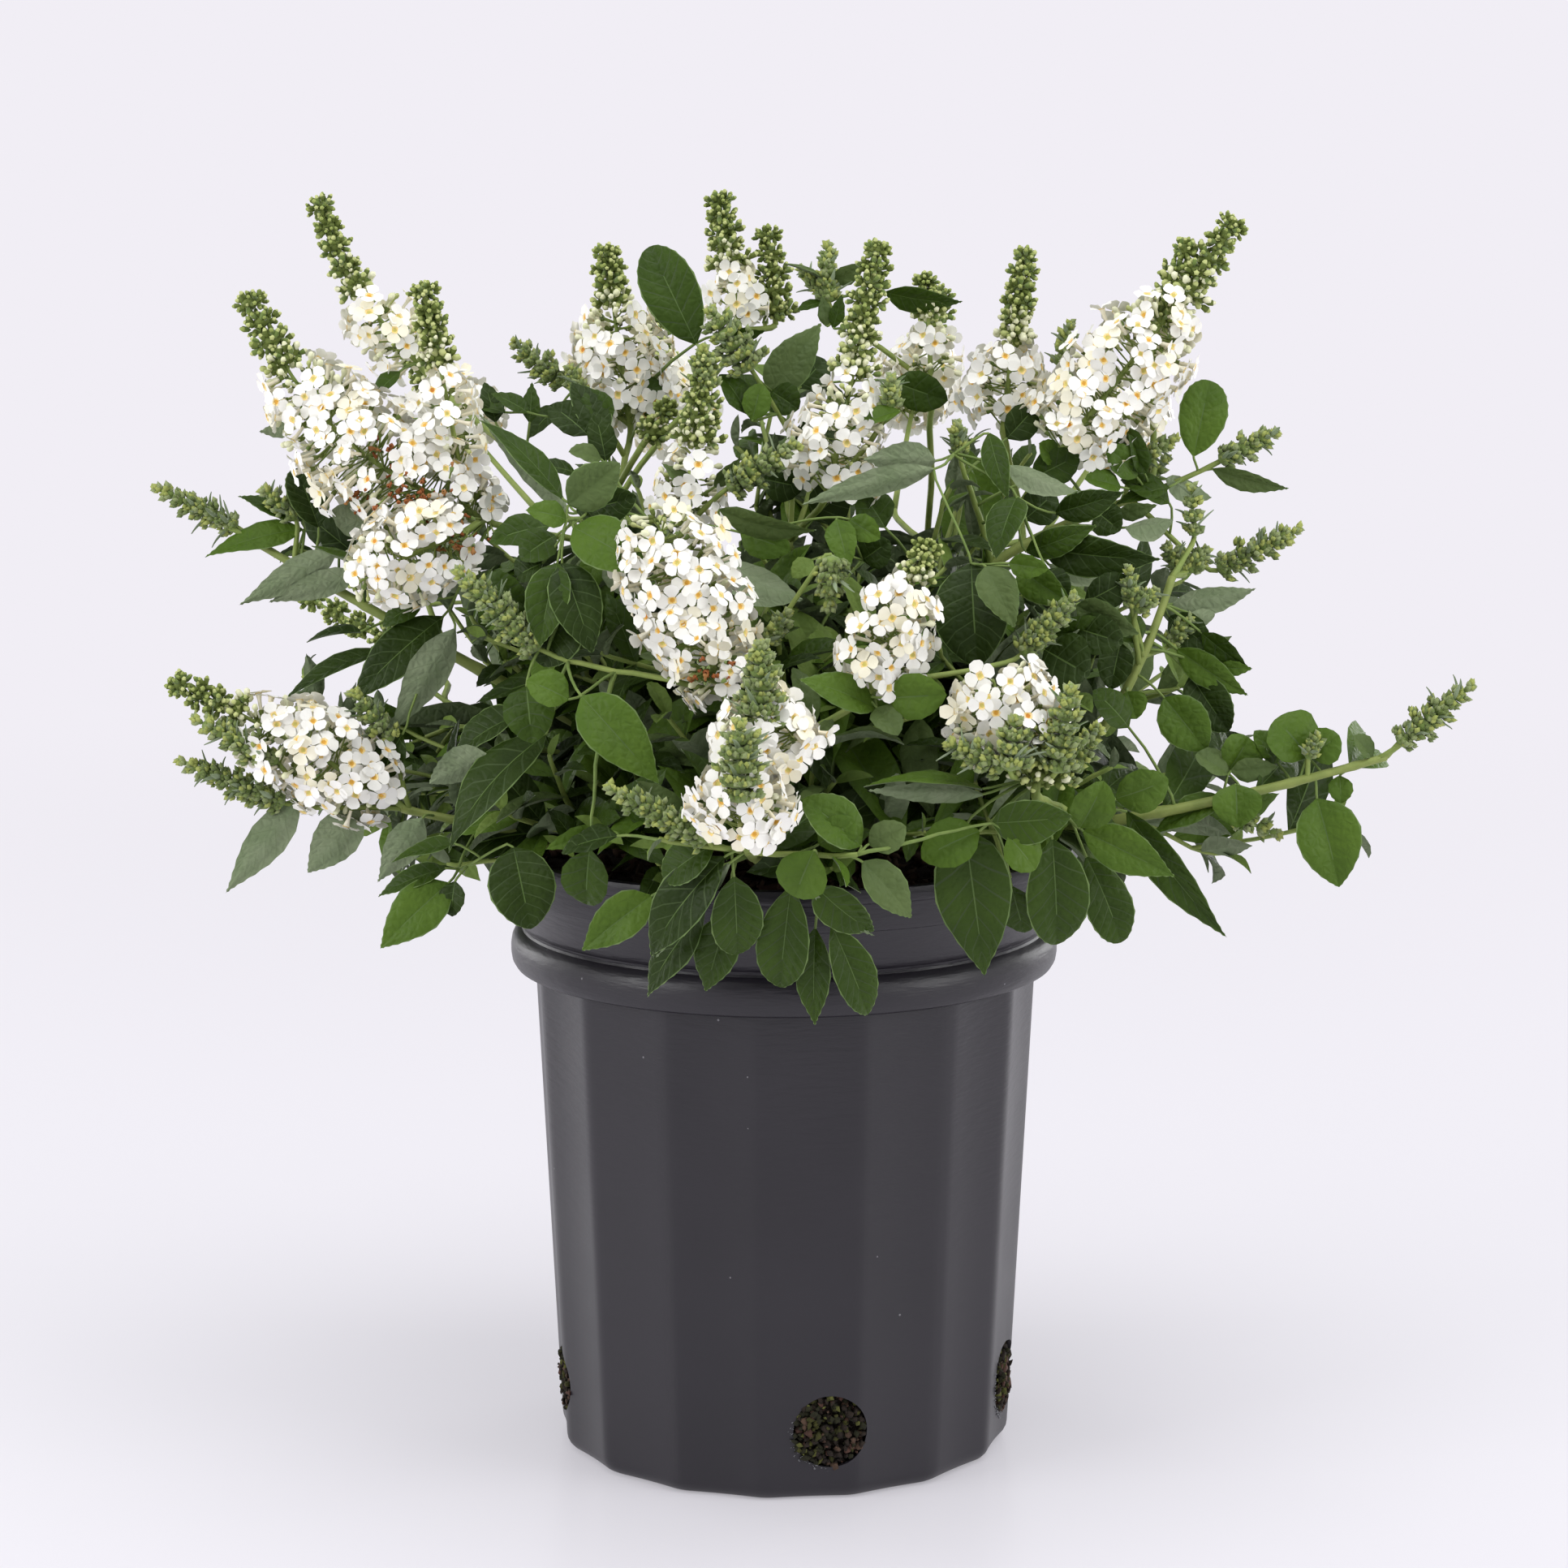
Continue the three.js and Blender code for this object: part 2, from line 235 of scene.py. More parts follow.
# A tube along a path. radii holds one number for each point, or a row of one for each side.
def tube(pile, path, radii, sides, tint=0):
    path = np.asarray(path, float)
    count = len(path)
    ways = unit(np.gradient(path, axis=0))
    radii = np.asarray(radii, float)
    radii = np.broadcast_to(radii[:, None] if radii.ndim == 1 else radii, (count, sides))
    turns = anglesRound(sides)
    side = unit(np.cross(ways[0], upwards if abs(ways[0][2]) < 0.9 else [1.0, 0, 0]))
    rings = []
    for point, way, radius in zip(path, ways, radii):
        side = unit(side - way * side.dot(way))
        over = np.cross(way, side)
        rings.append(point + radius[:, None] * fanOut(side, over, turns))
    ends = [path[0] - ways[0] * radii[0].mean() * 0.3, path[-1] + ways[-1] * radii[-1].mean() * 0.5]
    points = np.concatenate([*rings, ends])
    fours = gridFaces(count, sides, True)[:, ::-1]
    last = count * sides
    following = (np.arange(sides) + 1) % sides
    foot = np.column_stack([np.full(sides, last), following, np.arange(sides)])
    head = np.column_stack([np.full(sides, last + 1), np.arange(sides), following])
    head[:, 1:] += last - sides
    fourTint = np.repeat(tint, sides) if np.ndim(tint) else tint
    threeTint = np.repeat([tint[0], tint[-1]], sides) if np.ndim(tint) else tint
    heap(pile, points, fours, np.concatenate([foot, head]), fourTint, threeTint)


# ---- materials: shared effects are node groups ----
def colour(red, green, blue):
    parts = [value / 255 for value in (red, green, blue)]
    return (*[v / 12.92 if v <= 0.04045 else ((v + 0.055) / 1.055) ** 2.4 for v in parts], 1)


# Sets inputs of a node by their labels, with _ for a space.
def fill(node, **values):
    for label, value in values.items():
        node.inputs[label.replace("_", " ")].default_value = value
    return node


def addNode(tree, kind, **values):
    return fill(tree.nodes.new(kind), **values)


# Links, each as a node, its output, another node and its input.
def wire(tree, *rows):
    for source, output, target, entry in rows:
        tree.links.new(source.outputs[output], target.inputs[entry])


number, hue = "NodeSocketFloat", "NodeSocketColor"
mixFirst, mixSecond, mixResult = 6, 7, 2  # the colour sockets of a mix node


def newGroup(name, inputs, outputs):
    tree = bpy.data.node_groups.new(name, "ShaderNodeTree")
    for label, kind, value in inputs:
        tree.interface.new_socket(label, in_out="INPUT", socket_type=kind).default_value = value
    for label, kind in outputs:
        tree.interface.new_socket(label, in_out="OUTPUT", socket_type=kind)
    return tree, tree.nodes.new("NodeGroupInput"), tree.nodes.new("NodeGroupOutput")


# Soft patches of a second colour over the first.
def makeMottle():
    tree, given, result = newGroup(
        "mottle",
        [("Colour", hue, (1, 1, 1, 1)), ("Patch Colour", hue, (0, 0, 0, 1)),
         ("Scale", number, 60), ("Amount", number, 0.6)],
        [("Colour", hue), ("Mask", number)])
    where = addNode(tree, "ShaderNodeTexCoord")
    cloud = addNode(tree, "ShaderNodeTexNoise", Detail=4)
    spread = addNode(tree, "ShaderNodeMapRange", From_Min=0.36, From_Max=0.66)
    share = addNode(tree, "ShaderNodeMath")
    share.operation = "MULTIPLY"
    blend = addNode(tree, "ShaderNodeMix")
    blend.data_type = "RGBA"
    wire(tree, (where, "Object", cloud, "Vector"), (given, "Scale", cloud, "Scale"),
         (cloud, "Fac", spread, "Value"), (spread, "Result", share, 0), (given, "Amount", share, 1),
         (share, 0, blend, 0), (given, "Colour", blend, mixFirst),
         (given, "Patch Colour", blend, mixSecond), (blend, mixResult, result, "Colour"),
         (share, 0, result, "Mask"))
    return tree


# Height of fine hairs or grain.
def makeFelt():
    tree, given, result = newGroup("felt", [("Scale", number, 1500)], [("Height", number)])
    where = addNode(tree, "ShaderNodeTexCoord")
    grain = addNode(tree, "ShaderNodeTexNoise", Detail=3, Roughness=0.7)
    wire(tree, (where, "Object", grain, "Vector"), (given, "Scale", grain, "Scale"),
         (grain, "Fac", result, "Height"))
    return tree


# Height of a net of sunken veins.
def makeVeinNet():
    tree, given, result = newGroup("veinNet", [("Scale", number, 420)], [("Height", number)])
    where = addNode(tree, "ShaderNodeTexCoord")
    cells = addNode(tree, "ShaderNodeTexVoronoi")
    cells.feature = "DISTANCE_TO_EDGE"
    ease = addNode(tree, "ShaderNodeMapRange", From_Max=0.35)
    ease.interpolation_type = "SMOOTHSTEP"
    wire(tree, (where, "Object", cells, "Vector"), (given, "Scale", cells, "Scale"),
         (cells, "Distance", ease, "Value"), (ease, "Result", result, "Height"))
    return tree


# Small round specks, as of dust or crumbs.
def makeSpecks():
    tree, given, result = newGroup("specks", [("Scale", number, 120), ("Size", number, 0.08)],
                                   [("Mask", number)])
    where = addNode(tree, "ShaderNodeTexCoord")
    dots = addNode(tree, "ShaderNodeTexVoronoi")
    near = addNode(tree, "ShaderNodeMath")
    near.operation = "LESS_THAN"
    wire(tree, (where, "Object", dots, "Vector"), (given, "Scale", dots, "Scale"),
         (dots, "Distance", near, 0), (given, "Size", near, 1), (near, 0, result, "Mask"))
    return tree


mottle, felt, veinNet, specks = makeMottle(), makeFelt(), makeVeinNet(), makeSpecks()


def place(tree, group, **values):
    node = tree.nodes.new("ShaderNodeGroup")
    node.node_tree = group
    return fill(node, **values)


def newMaterial(name, **values):
    material = bpy.data.materials.new(name)
    material.use_nodes = True
    tree = material.node_tree
    return material, tree, fill(tree.nodes["Principled BSDF"], **values)


# A material from one look: its colour, a patch colour, its gloss and one kind of relief.
def paint(name, main, patch, look):
    material, tree, shader = newMaterial(name, Roughness=look.get("rough", 0.6),
                                         Specular_IOR_Level=look.get("gloss", 0.4),
                                         Sheen_Weight=look.get("sheen", 0))
    tone = place(tree, mottle, Colour=colour(*main), Patch_Colour=colour(*patch),
                 Scale=look["scale"], Amount=0.7)
    relief = place(tree, look.get("relief", felt), Scale=look.get("grain", 1400))
    bump = addNode(tree, "ShaderNodeBump", Strength=look.get("strength", 0.5),
                   Distance=look.get("depth", 0.1) * mm)
    wire(tree, (tone, "Colour", shader, "Base Color"), (relief, "Height", bump, "Height"),
         (bump, "Normal", shader, "Normal"))
    return material


# Materials of one look, each from a name, a colour, a patch colour and, if any, its own changes.
def paintSet(look, *rows):
    return [paint(name, main, patch, {**look, **own})
            for name, main, patch, own in ((*row, {})[:4] for row in rows)]


# ---- pot ----
# Radii are at the ridges between the flutes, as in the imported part.
pot = {"foot": 82, "heel": 6, "bodyTop": (90.5, 175), "wall": 1.6, "height": 221, "flutes": 16,
       "depth": 2.75, "worn": 0.2, "firstRidge": math.radians(-5), "holeRadius": 13, "holeHeight": 25,
       "firstHole": math.radians(-78.5), "holeSteps": (4, 3, 3, 3, 3)}

# Bead, groove, neck, crease and lip above the fluted wall, as (radius, height).
potTop = [(91.2, 175.1), (94.5, 175.3), (96.3, 176.2), (97.3, 177.9), (97.7, 180.4), (97.7, 183.2),
          (97.3, 185.6), (96.4, 187.4), (95.0, 188.5), (93.9, 189.0), (93.5, 189.8), (93.8, 190.8),
          (94.7, 191.6), (95.6, 193.4), (97.6, 198.2), (99.6, 202.8), (100.7, 205.0), (101.0, 205.6),
          (101.9, 206.0), (102.3, 206.8), (103.2, 210.2), (104.0, 213.8), (104.4, 215.6),
          (105.2, 216.1), (105.6, 217.0), (105.6, 219.9), (105.2, 220.8), (104.5, 221.0),
          (102.6, 221.0), (102.0, 220.6), (101.7, 219.8)]

# Radius and height of points under the pot's foot, and of its mouth from the rim inwards.
potUnderside = [(8, 0), (30, 0), (55, 0)]
potMouth = [(100, 206), (95, 194.5), (92.5, 189)]

# Places across one flute, closer together where its ridge is worn round.
fluteStops = np.array([-0.93, -0.86, -0.75, -0.5, -0.25, 0, 0.25, 0.5, 0.75, 0.86, 0.93, 1])


def hollow(across):
    spread = across[:, None] + np.linspace(-pot["worn"], pot["worn"], 9)
    return (1 - ((spread + 1) % 2 - 1) ** 2).mean(1)


def heelArc(radius, height, inset):
    turns = np.linspace(0, math.pi / 2, 6)
    return [(radius - pot["heel"] + (pot["heel"] - inset) * math.sin(a),
             height - (pot["heel"] - inset) * math.cos(a)) for a in turns]


def makePot():
    topRadius, topHeight = pot["bodyTop"]
    rows = [(mix(pot["foot"], topRadius, s), mix(pot["heel"], topHeight, s))
            for s in np.linspace(0.05, 1, 16)]
    outside = [*potUnderside, *heelArc(pot["foot"], pot["heel"], 0), *rows, *potTop]
    wall = pot["wall"]
    inside = [*potMouth, (topRadius - wall, topHeight - 1)]
    inside += [(radius - wall, height) for radius, height in rows[-3::-3]]
    inside += [*heelArc(pot["foot"], pot["heel"], wall)[::-1], (50, wall), (20, wall)]
    profile = np.array(outside + inside)
    azimuths = [pot["firstRidge"] + (k + 0.5 + s / 2) * 2 * math.pi / pot["flutes"]
                for k in range(pot["flutes"]) for s in fluteStops]
    share = np.tile(hollow(fluteStops), pot["flutes"])
    azimuths = np.array(azimuths)
    fluted = np.where(profile[:, 1] <= topHeight + 0.05, 1.0, 0.0)
    fluted *= np.clip(profile[:, 0] / pot["foot"], 0, 1) ** 2
    factor = 1 - fluted[:, None] * share * pot["depth"] / topRadius
    radius = profile[:, :1] * factor
    points = np.stack([radius * np.sin(azimuths), -radius * np.cos(azimuths),
                       np.broadcast_to(profile[:, 1:], radius.shape)], -1)
    columns = len(azimuths)
    pile = newPile()
    middle = [[0, 0, 0], [0, 0, wall]]
    count = len(profile) * columns
    following = (np.arange(columns) + 1) % columns
    under = np.column_stack([np.full(columns, count), following, np.arange(columns)])
    floor = np.column_stack([np.full(columns, count + 1), np.arange(columns), following])
    floor[:, 1:] += count - columns
    faces = gridFaces(len(profile), columns, True)[:, ::-1]
    heap(pile, np.concatenate([points.reshape(-1, 3), middle]), faces, np.concatenate([under, floor]))
    return makePiece("nursery_pot", pile, [potPlastic], ["pot"])


def holeAzimuths():
    turns = np.cumsum([0, *pot["holeSteps"][:-1]]) * 2 * math.pi / pot["flutes"]
    return pot["firstHole"] + turns


# The drain holes are cut through the wall.
def drillHoles(piece):
    sides, reach = 40, 20
    for azimuth in holeAzimuths():
        drill = turnedShape([(pot["holeRadius"], -reach), (pot["holeRadius"], reach)], sides)
        pile = newPile()
        outward = np.array([math.sin(azimuth), -math.cos(azimuth), 0])
        centre = outward * (pot["foot"] + 1) + upwards * pot["holeHeight"]
        stamp(pile, drill, [centre], [outward], [1.0], spins=[0])
        mesh = bpy.data.meshes.new("drill")
        caps = [tuple(range(sides - 1, -1, -1)), tuple(range(sides, 2 * sides))]
        corners = [tuple(f) for f in pile["fours"][0]] + caps
        mesh.from_pydata((pile["points"][0] * mm).tolist(), [], corners)
        tool = bpy.data.objects.new("drill", mesh)
        bpy.context.scene.collection.objects.link(tool)
        cut = piece.modifiers.new("hole", "BOOLEAN")
        cut.object = tool
        cut.solver = "EXACT"
        held = bpy.context.evaluated_depsgraph_get()
        made = bpy.data.meshes.new_from_object(piece.evaluated_get(held))
        piece.modifiers.clear()
        piece.data = made
        bpy.data.objects.remove(tool)
    piece.data.shade_smooth()
    piece.data.set_sharp_from_angle(angle=potLook["crease"])


# The wrinkles are stretched level round the wall, and fade below the middle of it.
potLook = {"plastic": (27, 24, 31), "patch": (34, 31, 38), "dust": (112, 110, 114), "patches": 22,
           "specks": 80, "speck": 0.032, "rough": (0.38, 0.46), "wrinkles": (110, 110, 620),
           "wrinkled": (70 * mm, 172 * mm), "smoothest": 0.12, "relief": 0.6 * mm,
           "crease": math.radians(28)}


def paintPot():
    look = potLook
    material, tree, shader = newMaterial("potPlastic", Specular_IOR_Level=0.5)
    tone = place(tree, mottle, Colour=colour(*look["plastic"]), Patch_Colour=colour(*look["patch"]),
                 Scale=look["patches"], Amount=0.6)
    dust = place(tree, specks, Scale=look["specks"], Size=look["speck"])
    speckled = addNode(tree, "ShaderNodeMix")
    speckled.data_type = "RGBA"
    speckled.inputs[mixSecond].default_value = colour(*look["dust"])
    worn = addNode(tree, "ShaderNodeMapRange", To_Min=look["rough"][0], To_Max=look["rough"][1])
    where = addNode(tree, "ShaderNodeTexCoord")
    stretch = addNode(tree, "ShaderNodeMapping", Scale=look["wrinkles"])
    wrinkle = addNode(tree, "ShaderNodeTexNoise", Scale=1, Detail=3)
    high = addNode(tree, "ShaderNodeSeparateXYZ")
    near = addNode(tree, "ShaderNodeMapRange", From_Min=look["wrinkled"][0],
                   From_Max=look["wrinkled"][1], To_Min=look["smoothest"])
    both = addNode(tree, "ShaderNodeMath")
    both.operation = "MULTIPLY"
    bump = addNode(tree, "ShaderNodeBump", Strength=0.5, Distance=look["relief"])
    wire(tree, (dust, "Mask", speckled, 0), (tone, "Colour", speckled, mixFirst),
         (speckled, mixResult, shader, "Base Color"), (tone, "Mask", worn, "Value"),
         (worn, "Result", shader, "Roughness"), (where, "Object", stretch, "Vector"),
         (stretch, "Vector", wrinkle, "Vector"), (where, "Object", high, "Vector"),
         (high, "Z", near, "Value"), (wrinkle, "Fac", both, 0), (near, "Result", both, 1),
         (both, 0, bump, "Height"), (bump, "Normal", shader, "Normal"))
    return material


potPlastic = paintPot()
drillHoles(makePot())
print("pot")


# ---- potting mix, bark chips and moss ----
mixLook = {"top": 209, "radius": 99, "gap": 1.2, "sides": 80, "uneven": 0.5, "chips": 420,
           "chipReach": 97, "chipShape": [[0.7, 1, 2.2]], "holeLumps": 340, "lumpFrom": 79.4,
           "crumbs": 90}
mixTints = paintSet(
    {"scale": 300, "rough": 0.9, "grain": 900},
    ("dampMix", (46, 36, 28), (24, 18, 14),
     {"scale": 240, "rough": 0.95, "grain": 700, "depth": 1.2, "strength": 1}),
    ("barkChip", (82, 62, 48), (42, 30, 22), {"depth": 0.5}),
    ("rootBit", (82, 56, 46), (48, 31, 24), {"depth": 0.3}))
mossTints = paintSet(
    {"scale": 500, "rough": 0.95, "grain": 2200, "depth": 0.5},
    ("mossOlive", (64, 64, 23), (35, 35, 14)),
    ("mossDark", (38, 38, 18), (24, 24, 12)),
    ("mossPale", (94, 96, 44), (60, 62, 28)),
    ("limeCrust", (134, 134, 138), (84, 84, 88), {"scale": 600, "depth": 0.3}))


# A rough pebble: a turned shape with every point jogged.
def pebble(sides, jog):
    shape = turnedShape([(0, -1), (0.9, -0.35), (0.85, 0.5), (0, 1)], sides)
    shape["points"] = shape["points"] + rng.normal(0, jog, shape["points"].shape)
    return shape


def makeMixBody(pile, slope):
    heights = np.linspace(3, mixLook["top"] - 1, 24)
    walls = pot["foot"] + slope * (heights - pot["heel"]) - pot["wall"] - pot["depth"] - mixLook["gap"]
    walls[0] -= 3
    rings = [(r, h) for r, h in zip(walls, heights)]
    rings += [(mixLook["radius"] * s, mixLook["top"]) for s in np.linspace(0.96, 0.04, 16)]
    turns = anglesRound(mixLook["sides"])
    rough = rng.normal(0, mixLook["uneven"], (len(rings), mixLook["sides"]))
    points = [[(r + n) * math.sin(a), -(r + n) * math.cos(a), h + n * (h > 200) * 1.6]
              for (r, h), row in zip(rings, rough) for a, n in zip(turns, row)]
    heap(pile, np.array(points), gridFaces(len(rings), mixLook["sides"], True)[:, ::-1])


def strewChips(pile):
    far = np.sqrt(rng.uniform(0.01, 1, mixLook["chips"])) * mixLook["chipReach"]
    turn = rng.uniform(0, 2 * math.pi, len(far))
    spots = np.column_stack([far * np.cos(turn), far * np.sin(turn),
                             mixLook["top"] + rng.uniform(0.2, 2.2, len(far))])
    lean = unit(np.column_stack([rng.normal(0, 1, (len(far), 2)), rng.normal(0, 0.4, len(far))]))
    for half in range(2):
        some = slice(half, None, 2)
        sizes = rng.uniform(1, 2.6, (len(spots[some]), 1)) * mixLook["chipShape"]
        stamp(pile, pebble(5, 0.16), spots[some], lean[some], sizes, rng.choice([1, 1, 2], len(sizes)))


# Lumps of mix and moss that fill a drain hole, and pale crumbs round its lower edge.
def fillHole(pile, moss, azimuth, slope):
    outward = np.array([math.sin(azimuth), -math.cos(azimuth), 0])
    sideways = np.array([math.cos(azimuth), math.sin(azimuth), 0])
    far = np.sqrt(rng.uniform(0, 1, mixLook["holeLumps"])) * pot["holeRadius"] * 0.98
    turn = rng.uniform(0, 2 * math.pi, len(far))
    proud = (mixLook["lumpFrom"] + rng.uniform(-1.6, 1.4, len(far))
             + (far < 10) * rng.uniform(0, 1.6, len(far)))
    spots = (outward * proud[:, None] + sideways * (far * np.cos(turn))[:, None]
             + upwards * (pot["holeHeight"] + far * np.sin(turn))[:, None])
    mossy = rng.random(len(far)) < 0.5 + 0.45 * np.sin(turn - 0.9) * far / pot["holeRadius"]
    sizes = rng.uniform(0.45, 1.0, (len(far), 1)) ** 1.5 * rng.uniform(1.0, 1.8, (len(far), 3))
    stamp(moss, pebble(4, 0.24), spots[mossy], np.tile(outward, (mossy.sum(), 1)), sizes[mossy],
          rng.choice([0, 0, 1, 1, 1, 2], mossy.sum()))
    stamp(pile, pebble(4, 0.24), spots[~mossy], np.tile(outward, ((~mossy).sum(), 1)),
          sizes[~mossy] * 1.15, rng.choice([0, 0, 0, 1, 2], (~mossy).sum()))
    far = pot["holeRadius"] + np.abs(rng.normal(0, 1.2, mixLook["crumbs"]))
    turn = -rng.uniform(-0.4, math.pi + 0.4, len(far))
    height = pot["holeHeight"] + far * np.sin(turn)
    reach = pot["foot"] + slope * (height - pot["heel"]) - pot["depth"] * 0.8
    spots = (outward * np.sqrt(np.maximum(reach ** 2 - (far * np.cos(turn)) ** 2, 0))[:, None]
             + sideways * (far * np.cos(turn))[:, None] + upwards * height[:, None])
    stamp(moss, pebble(4, 0.25), spots, np.tile(outward, (len(far), 1)),
          rng.uniform(0.12, 0.42, len(far)), 3)


def makeMix():
    pile, moss = newPile(), newPile()
    slope = (pot["bodyTop"][0] - pot["foot"]) / (pot["bodyTop"][1] - pot["heel"])
    makeMixBody(pile, slope)
    strewChips(pile)
    for azimuth in holeAzimuths():
        fillHole(pile, moss, azimuth, slope)
    makePiece("potting_mix", pile, mixTints, ["root_ball"])
    makePiece("drain_moss", moss, mossTints)


makeMix()
print("mix and moss")


# ---- limbs ----
# Boughs: height on the crown stem, the point each arches through, and its tip.
boughs = {
    "bough_front": (216, (-8, -84, 228), (-12, -150, 243)),
    "bough_low_left": (218, (-58, -44, 226), (-131, -60, 241)),
    "bough_low_right": (217, (78, -52, 230), (206, -60, 259)),
    "bough_back_low": (216, (0, 62, 240), (0, 108, 242)),
    "bough_left": (226, (-92, -24, 276), (-186, -2, 326)),
    "bough_right": (228, (78, -46, 236), (134, -36, 318)),
    "bough_back_left": (223, (-64, 38, 246), (-116, 68, 252)),
    "bough_back_right": (223, (64, 38, 246), (116, 68, 252)),
    "bough_front_middle": (231, (2, -34, 262), (0, -70, 284)),
    "bough_upper_left": (236, (-30, -4, 290), (-70, 0, 326)),
    "bough_upper_right": (237, (46, 2, 296), (128, 6, 342)),
    "bough_back_upper_left": (233, (-28, 40, 272), (-54, 84, 312)),
    "bough_back_upper_right": (233, (28, 40, 272), (56, 84, 312)),
    "bough_middle": (238, (0, 7, 276), (2, 6, 326)),
}
goldenTurn = 2.39996  # spreads things evenly round an axis
limb = {"foot": 2.7, "tip": 1.2, "sides": 12, "step": 2.6, "twigStep": 4.5, "ridge": 0.09, "node": 23,
        "stemFoot": 10.5, "stemTop": 8, "stemHeight": 240, "mixTop": 209}
skeleton = {"points": np.zeros((0, 3)), "ways": np.zeros((0, 3)), "radii": np.zeros(0)}
stemPile, twigPile = newPile(), newPile()
boughPaths, leaderPaths = [], []


def remember(path, radii):
    skeleton["points"] = np.concatenate([skeleton["points"], path])
    skeleton["ways"] = np.concatenate([skeleton["ways"], unit(np.gradient(path, axis=0))])
    skeleton["radii"] = np.concatenate([skeleton["radii"], radii])


# A smooth arch through three points.
def arch(foot, through, tip, step):
    foot, through, tip = (np.array(p, float) for p in (foot, through, tip))
    first, second = np.linalg.norm(through - foot), np.linalg.norm(tip - through)
    middle = first / (first + second)
    t = np.linspace(0, 1, max(4, int((first + second) / step)))[:, None]
    return (foot * (t - middle) * (t - 1) / middle + through * t * (t - 1) / (middle * (middle - 1))
            + tip * t * (t - middle) / (1 - middle))


# Bark: four soft ridges, cracks that fade upwards and a swelling at each pair of buds.
def barkRadii(path, radii, old):
    turns = anglesRound(limb["sides"])
    run = np.concatenate([[0], np.cumsum(np.linalg.norm(np.diff(path, axis=0), axis=1))])
    swell = 1 + 0.16 * np.exp(-(((run + 6) % limb["node"] - limb["node"] / 2) / 1.8) ** 2)
    ridges = 1 + limb["ridge"] * np.cos(4 * turns)[None] + old[:, None] * 0.1 * np.cos(
        7 * turns[None] + 0.15 * run[:, None])
    cracks = 1 + rng.normal(0, 0.02, (len(path), limb["sides"])) * (1 + 3 * old[:, None])
    return (radii * swell)[:, None] * ridges * cracks


def makeBoughs():
    rise = np.linspace(limb["mixTop"] - 3, limb["stemHeight"], 16)
    wander = np.column_stack([np.sin(rise / 9) * 0.5, np.cos(rise / 7) * 0.5, rise])
    share = (rise - rise[0]) / (rise[-1] - rise[0])
    radii = mix(limb["stemFoot"], limb["stemTop"], share) + 2.5 * np.exp(-share * 9)
    tube(stemPile, wander, barkRadii(wander, radii, np.ones(16)), limb["sides"], 0)
    for height, through, tip in boughs.values():
        heading = unit([tip[0], tip[1], 0]) * 5
        path = arch((heading[0], heading[1], height), through, tip, limb["step"])
        share = np.linspace(0, 1, len(path))
        radii = mix(limb["foot"], limb["tip"], share)
        old = np.clip(1 - share * 2.6, 0, 1)
        tube(stemPile, path, barkRadii(path, radii, old), limb["sides"],
             np.where(share[1:] < 0.26, 0, np.where(share[1:] < 0.36, 1, 2)))
        remember(path[4:], radii[4:])
        boughPaths.append(path)


# The limb that a twig can best leave to reach its end, best from the wanted distance.
def nearestLimb(end, way, wanted):
    gap = end - skeleton["points"]
    length = np.linalg.norm(gap, axis=1)
    flow = (gap @ way) / np.maximum(length, 1e-6)
    cost = np.abs(length - wanted) + length * 1.3 * (1 - flow) + np.where(length < 5, 30, 0)
    return int(np.argmin(cost))


# A smooth way from a point on a limb to an end, and its radii.
def twigPath(foot, footWay, end, way, footRadius, tipRadius):
    gap = end - foot
    length = np.linalg.norm(gap)
    leave = unit(footWay * 0.35 + unit(gap)) * length * 0.7
    count = max(5, int(length / limb["twigStep"]))
    t = np.linspace(0, 1, count)[:, None]
    path = (foot * (2 * t ** 3 - 3 * t ** 2 + 1) + leave * (t ** 3 - 2 * t ** 2 + t)
            + end * (3 * t ** 2 - 2 * t ** 3) + way * length * 0.45 * (t ** 3 - t ** 2))
    path[1:-1] += rng.normal(0, min(0.25, length * 0.004), (count - 2, 3))
    return path, mix(tipRadius, footRadius, 1 - t[:, 0])


def layTwig(path, radii):
    tube(twigPile, path, radii, 5, 0 if radii[-1] > 0.7 else 2)
    if len(path) > 5:
        remember(path[1:], radii[1:])


# A twig from a limb to a place, arriving along a direction.
def planTwig(end, way, tipRadius=0.8, grow=0.011, wanted=0):
    end, way = np.asarray(end, float), unit(way)
    start = nearestLimb(end, way, wanted)
    length = np.linalg.norm(end - skeleton["points"][start])
    footRadius = min(tipRadius + length * grow, max(tipRadius, skeleton["radii"][start] * 0.9), 2.1)
    return twigPath(skeleton["points"][start], skeleton["ways"][start], end, way, footRadius, tipRadius)


def growTwig(end, way, tipRadius=0.8, grow=0.011):
    layTwig(*planTwig(end, way, tipRadius, grow))


# Each bough runs on as a thinner leader, to the stated places or a little way into its mass.
leaders = {
    "bough_front": [(-40, -155, 248), (23.6, -155, 243)],
    "bough_low_right": [(224, -60, 274)], "bough_left": [(-202, -1, 335)],
    "bough_low_left": [seen(480, 984, -60)], "bough_right": [seen(1471, 664, -20)],
    "bough_upper_right": [seen(1502, 569, 10)],
}


def growLeaders():
    for (name, (_, through, tip)), path in zip(boughs.items(), boughPaths):
        way = unit(path[-1] - path[-3])
        ends = leaders.get(name, [path[-1] + unit(way + upwards * 0.5) * 34])
        for end in ends:
            end = np.array(end, float)
            arrival = unit(unit(end - path[-1]) + way * 0.4 + upwards * 0.2)
            run, radii = twigPath(path[-2], way, end, arrival, limb["tip"] * 0.97, 0.85)
            layTwig(run, radii)
            leaderPaths.append(run)


makeBoughs()
growLeaders()
print("boughs")


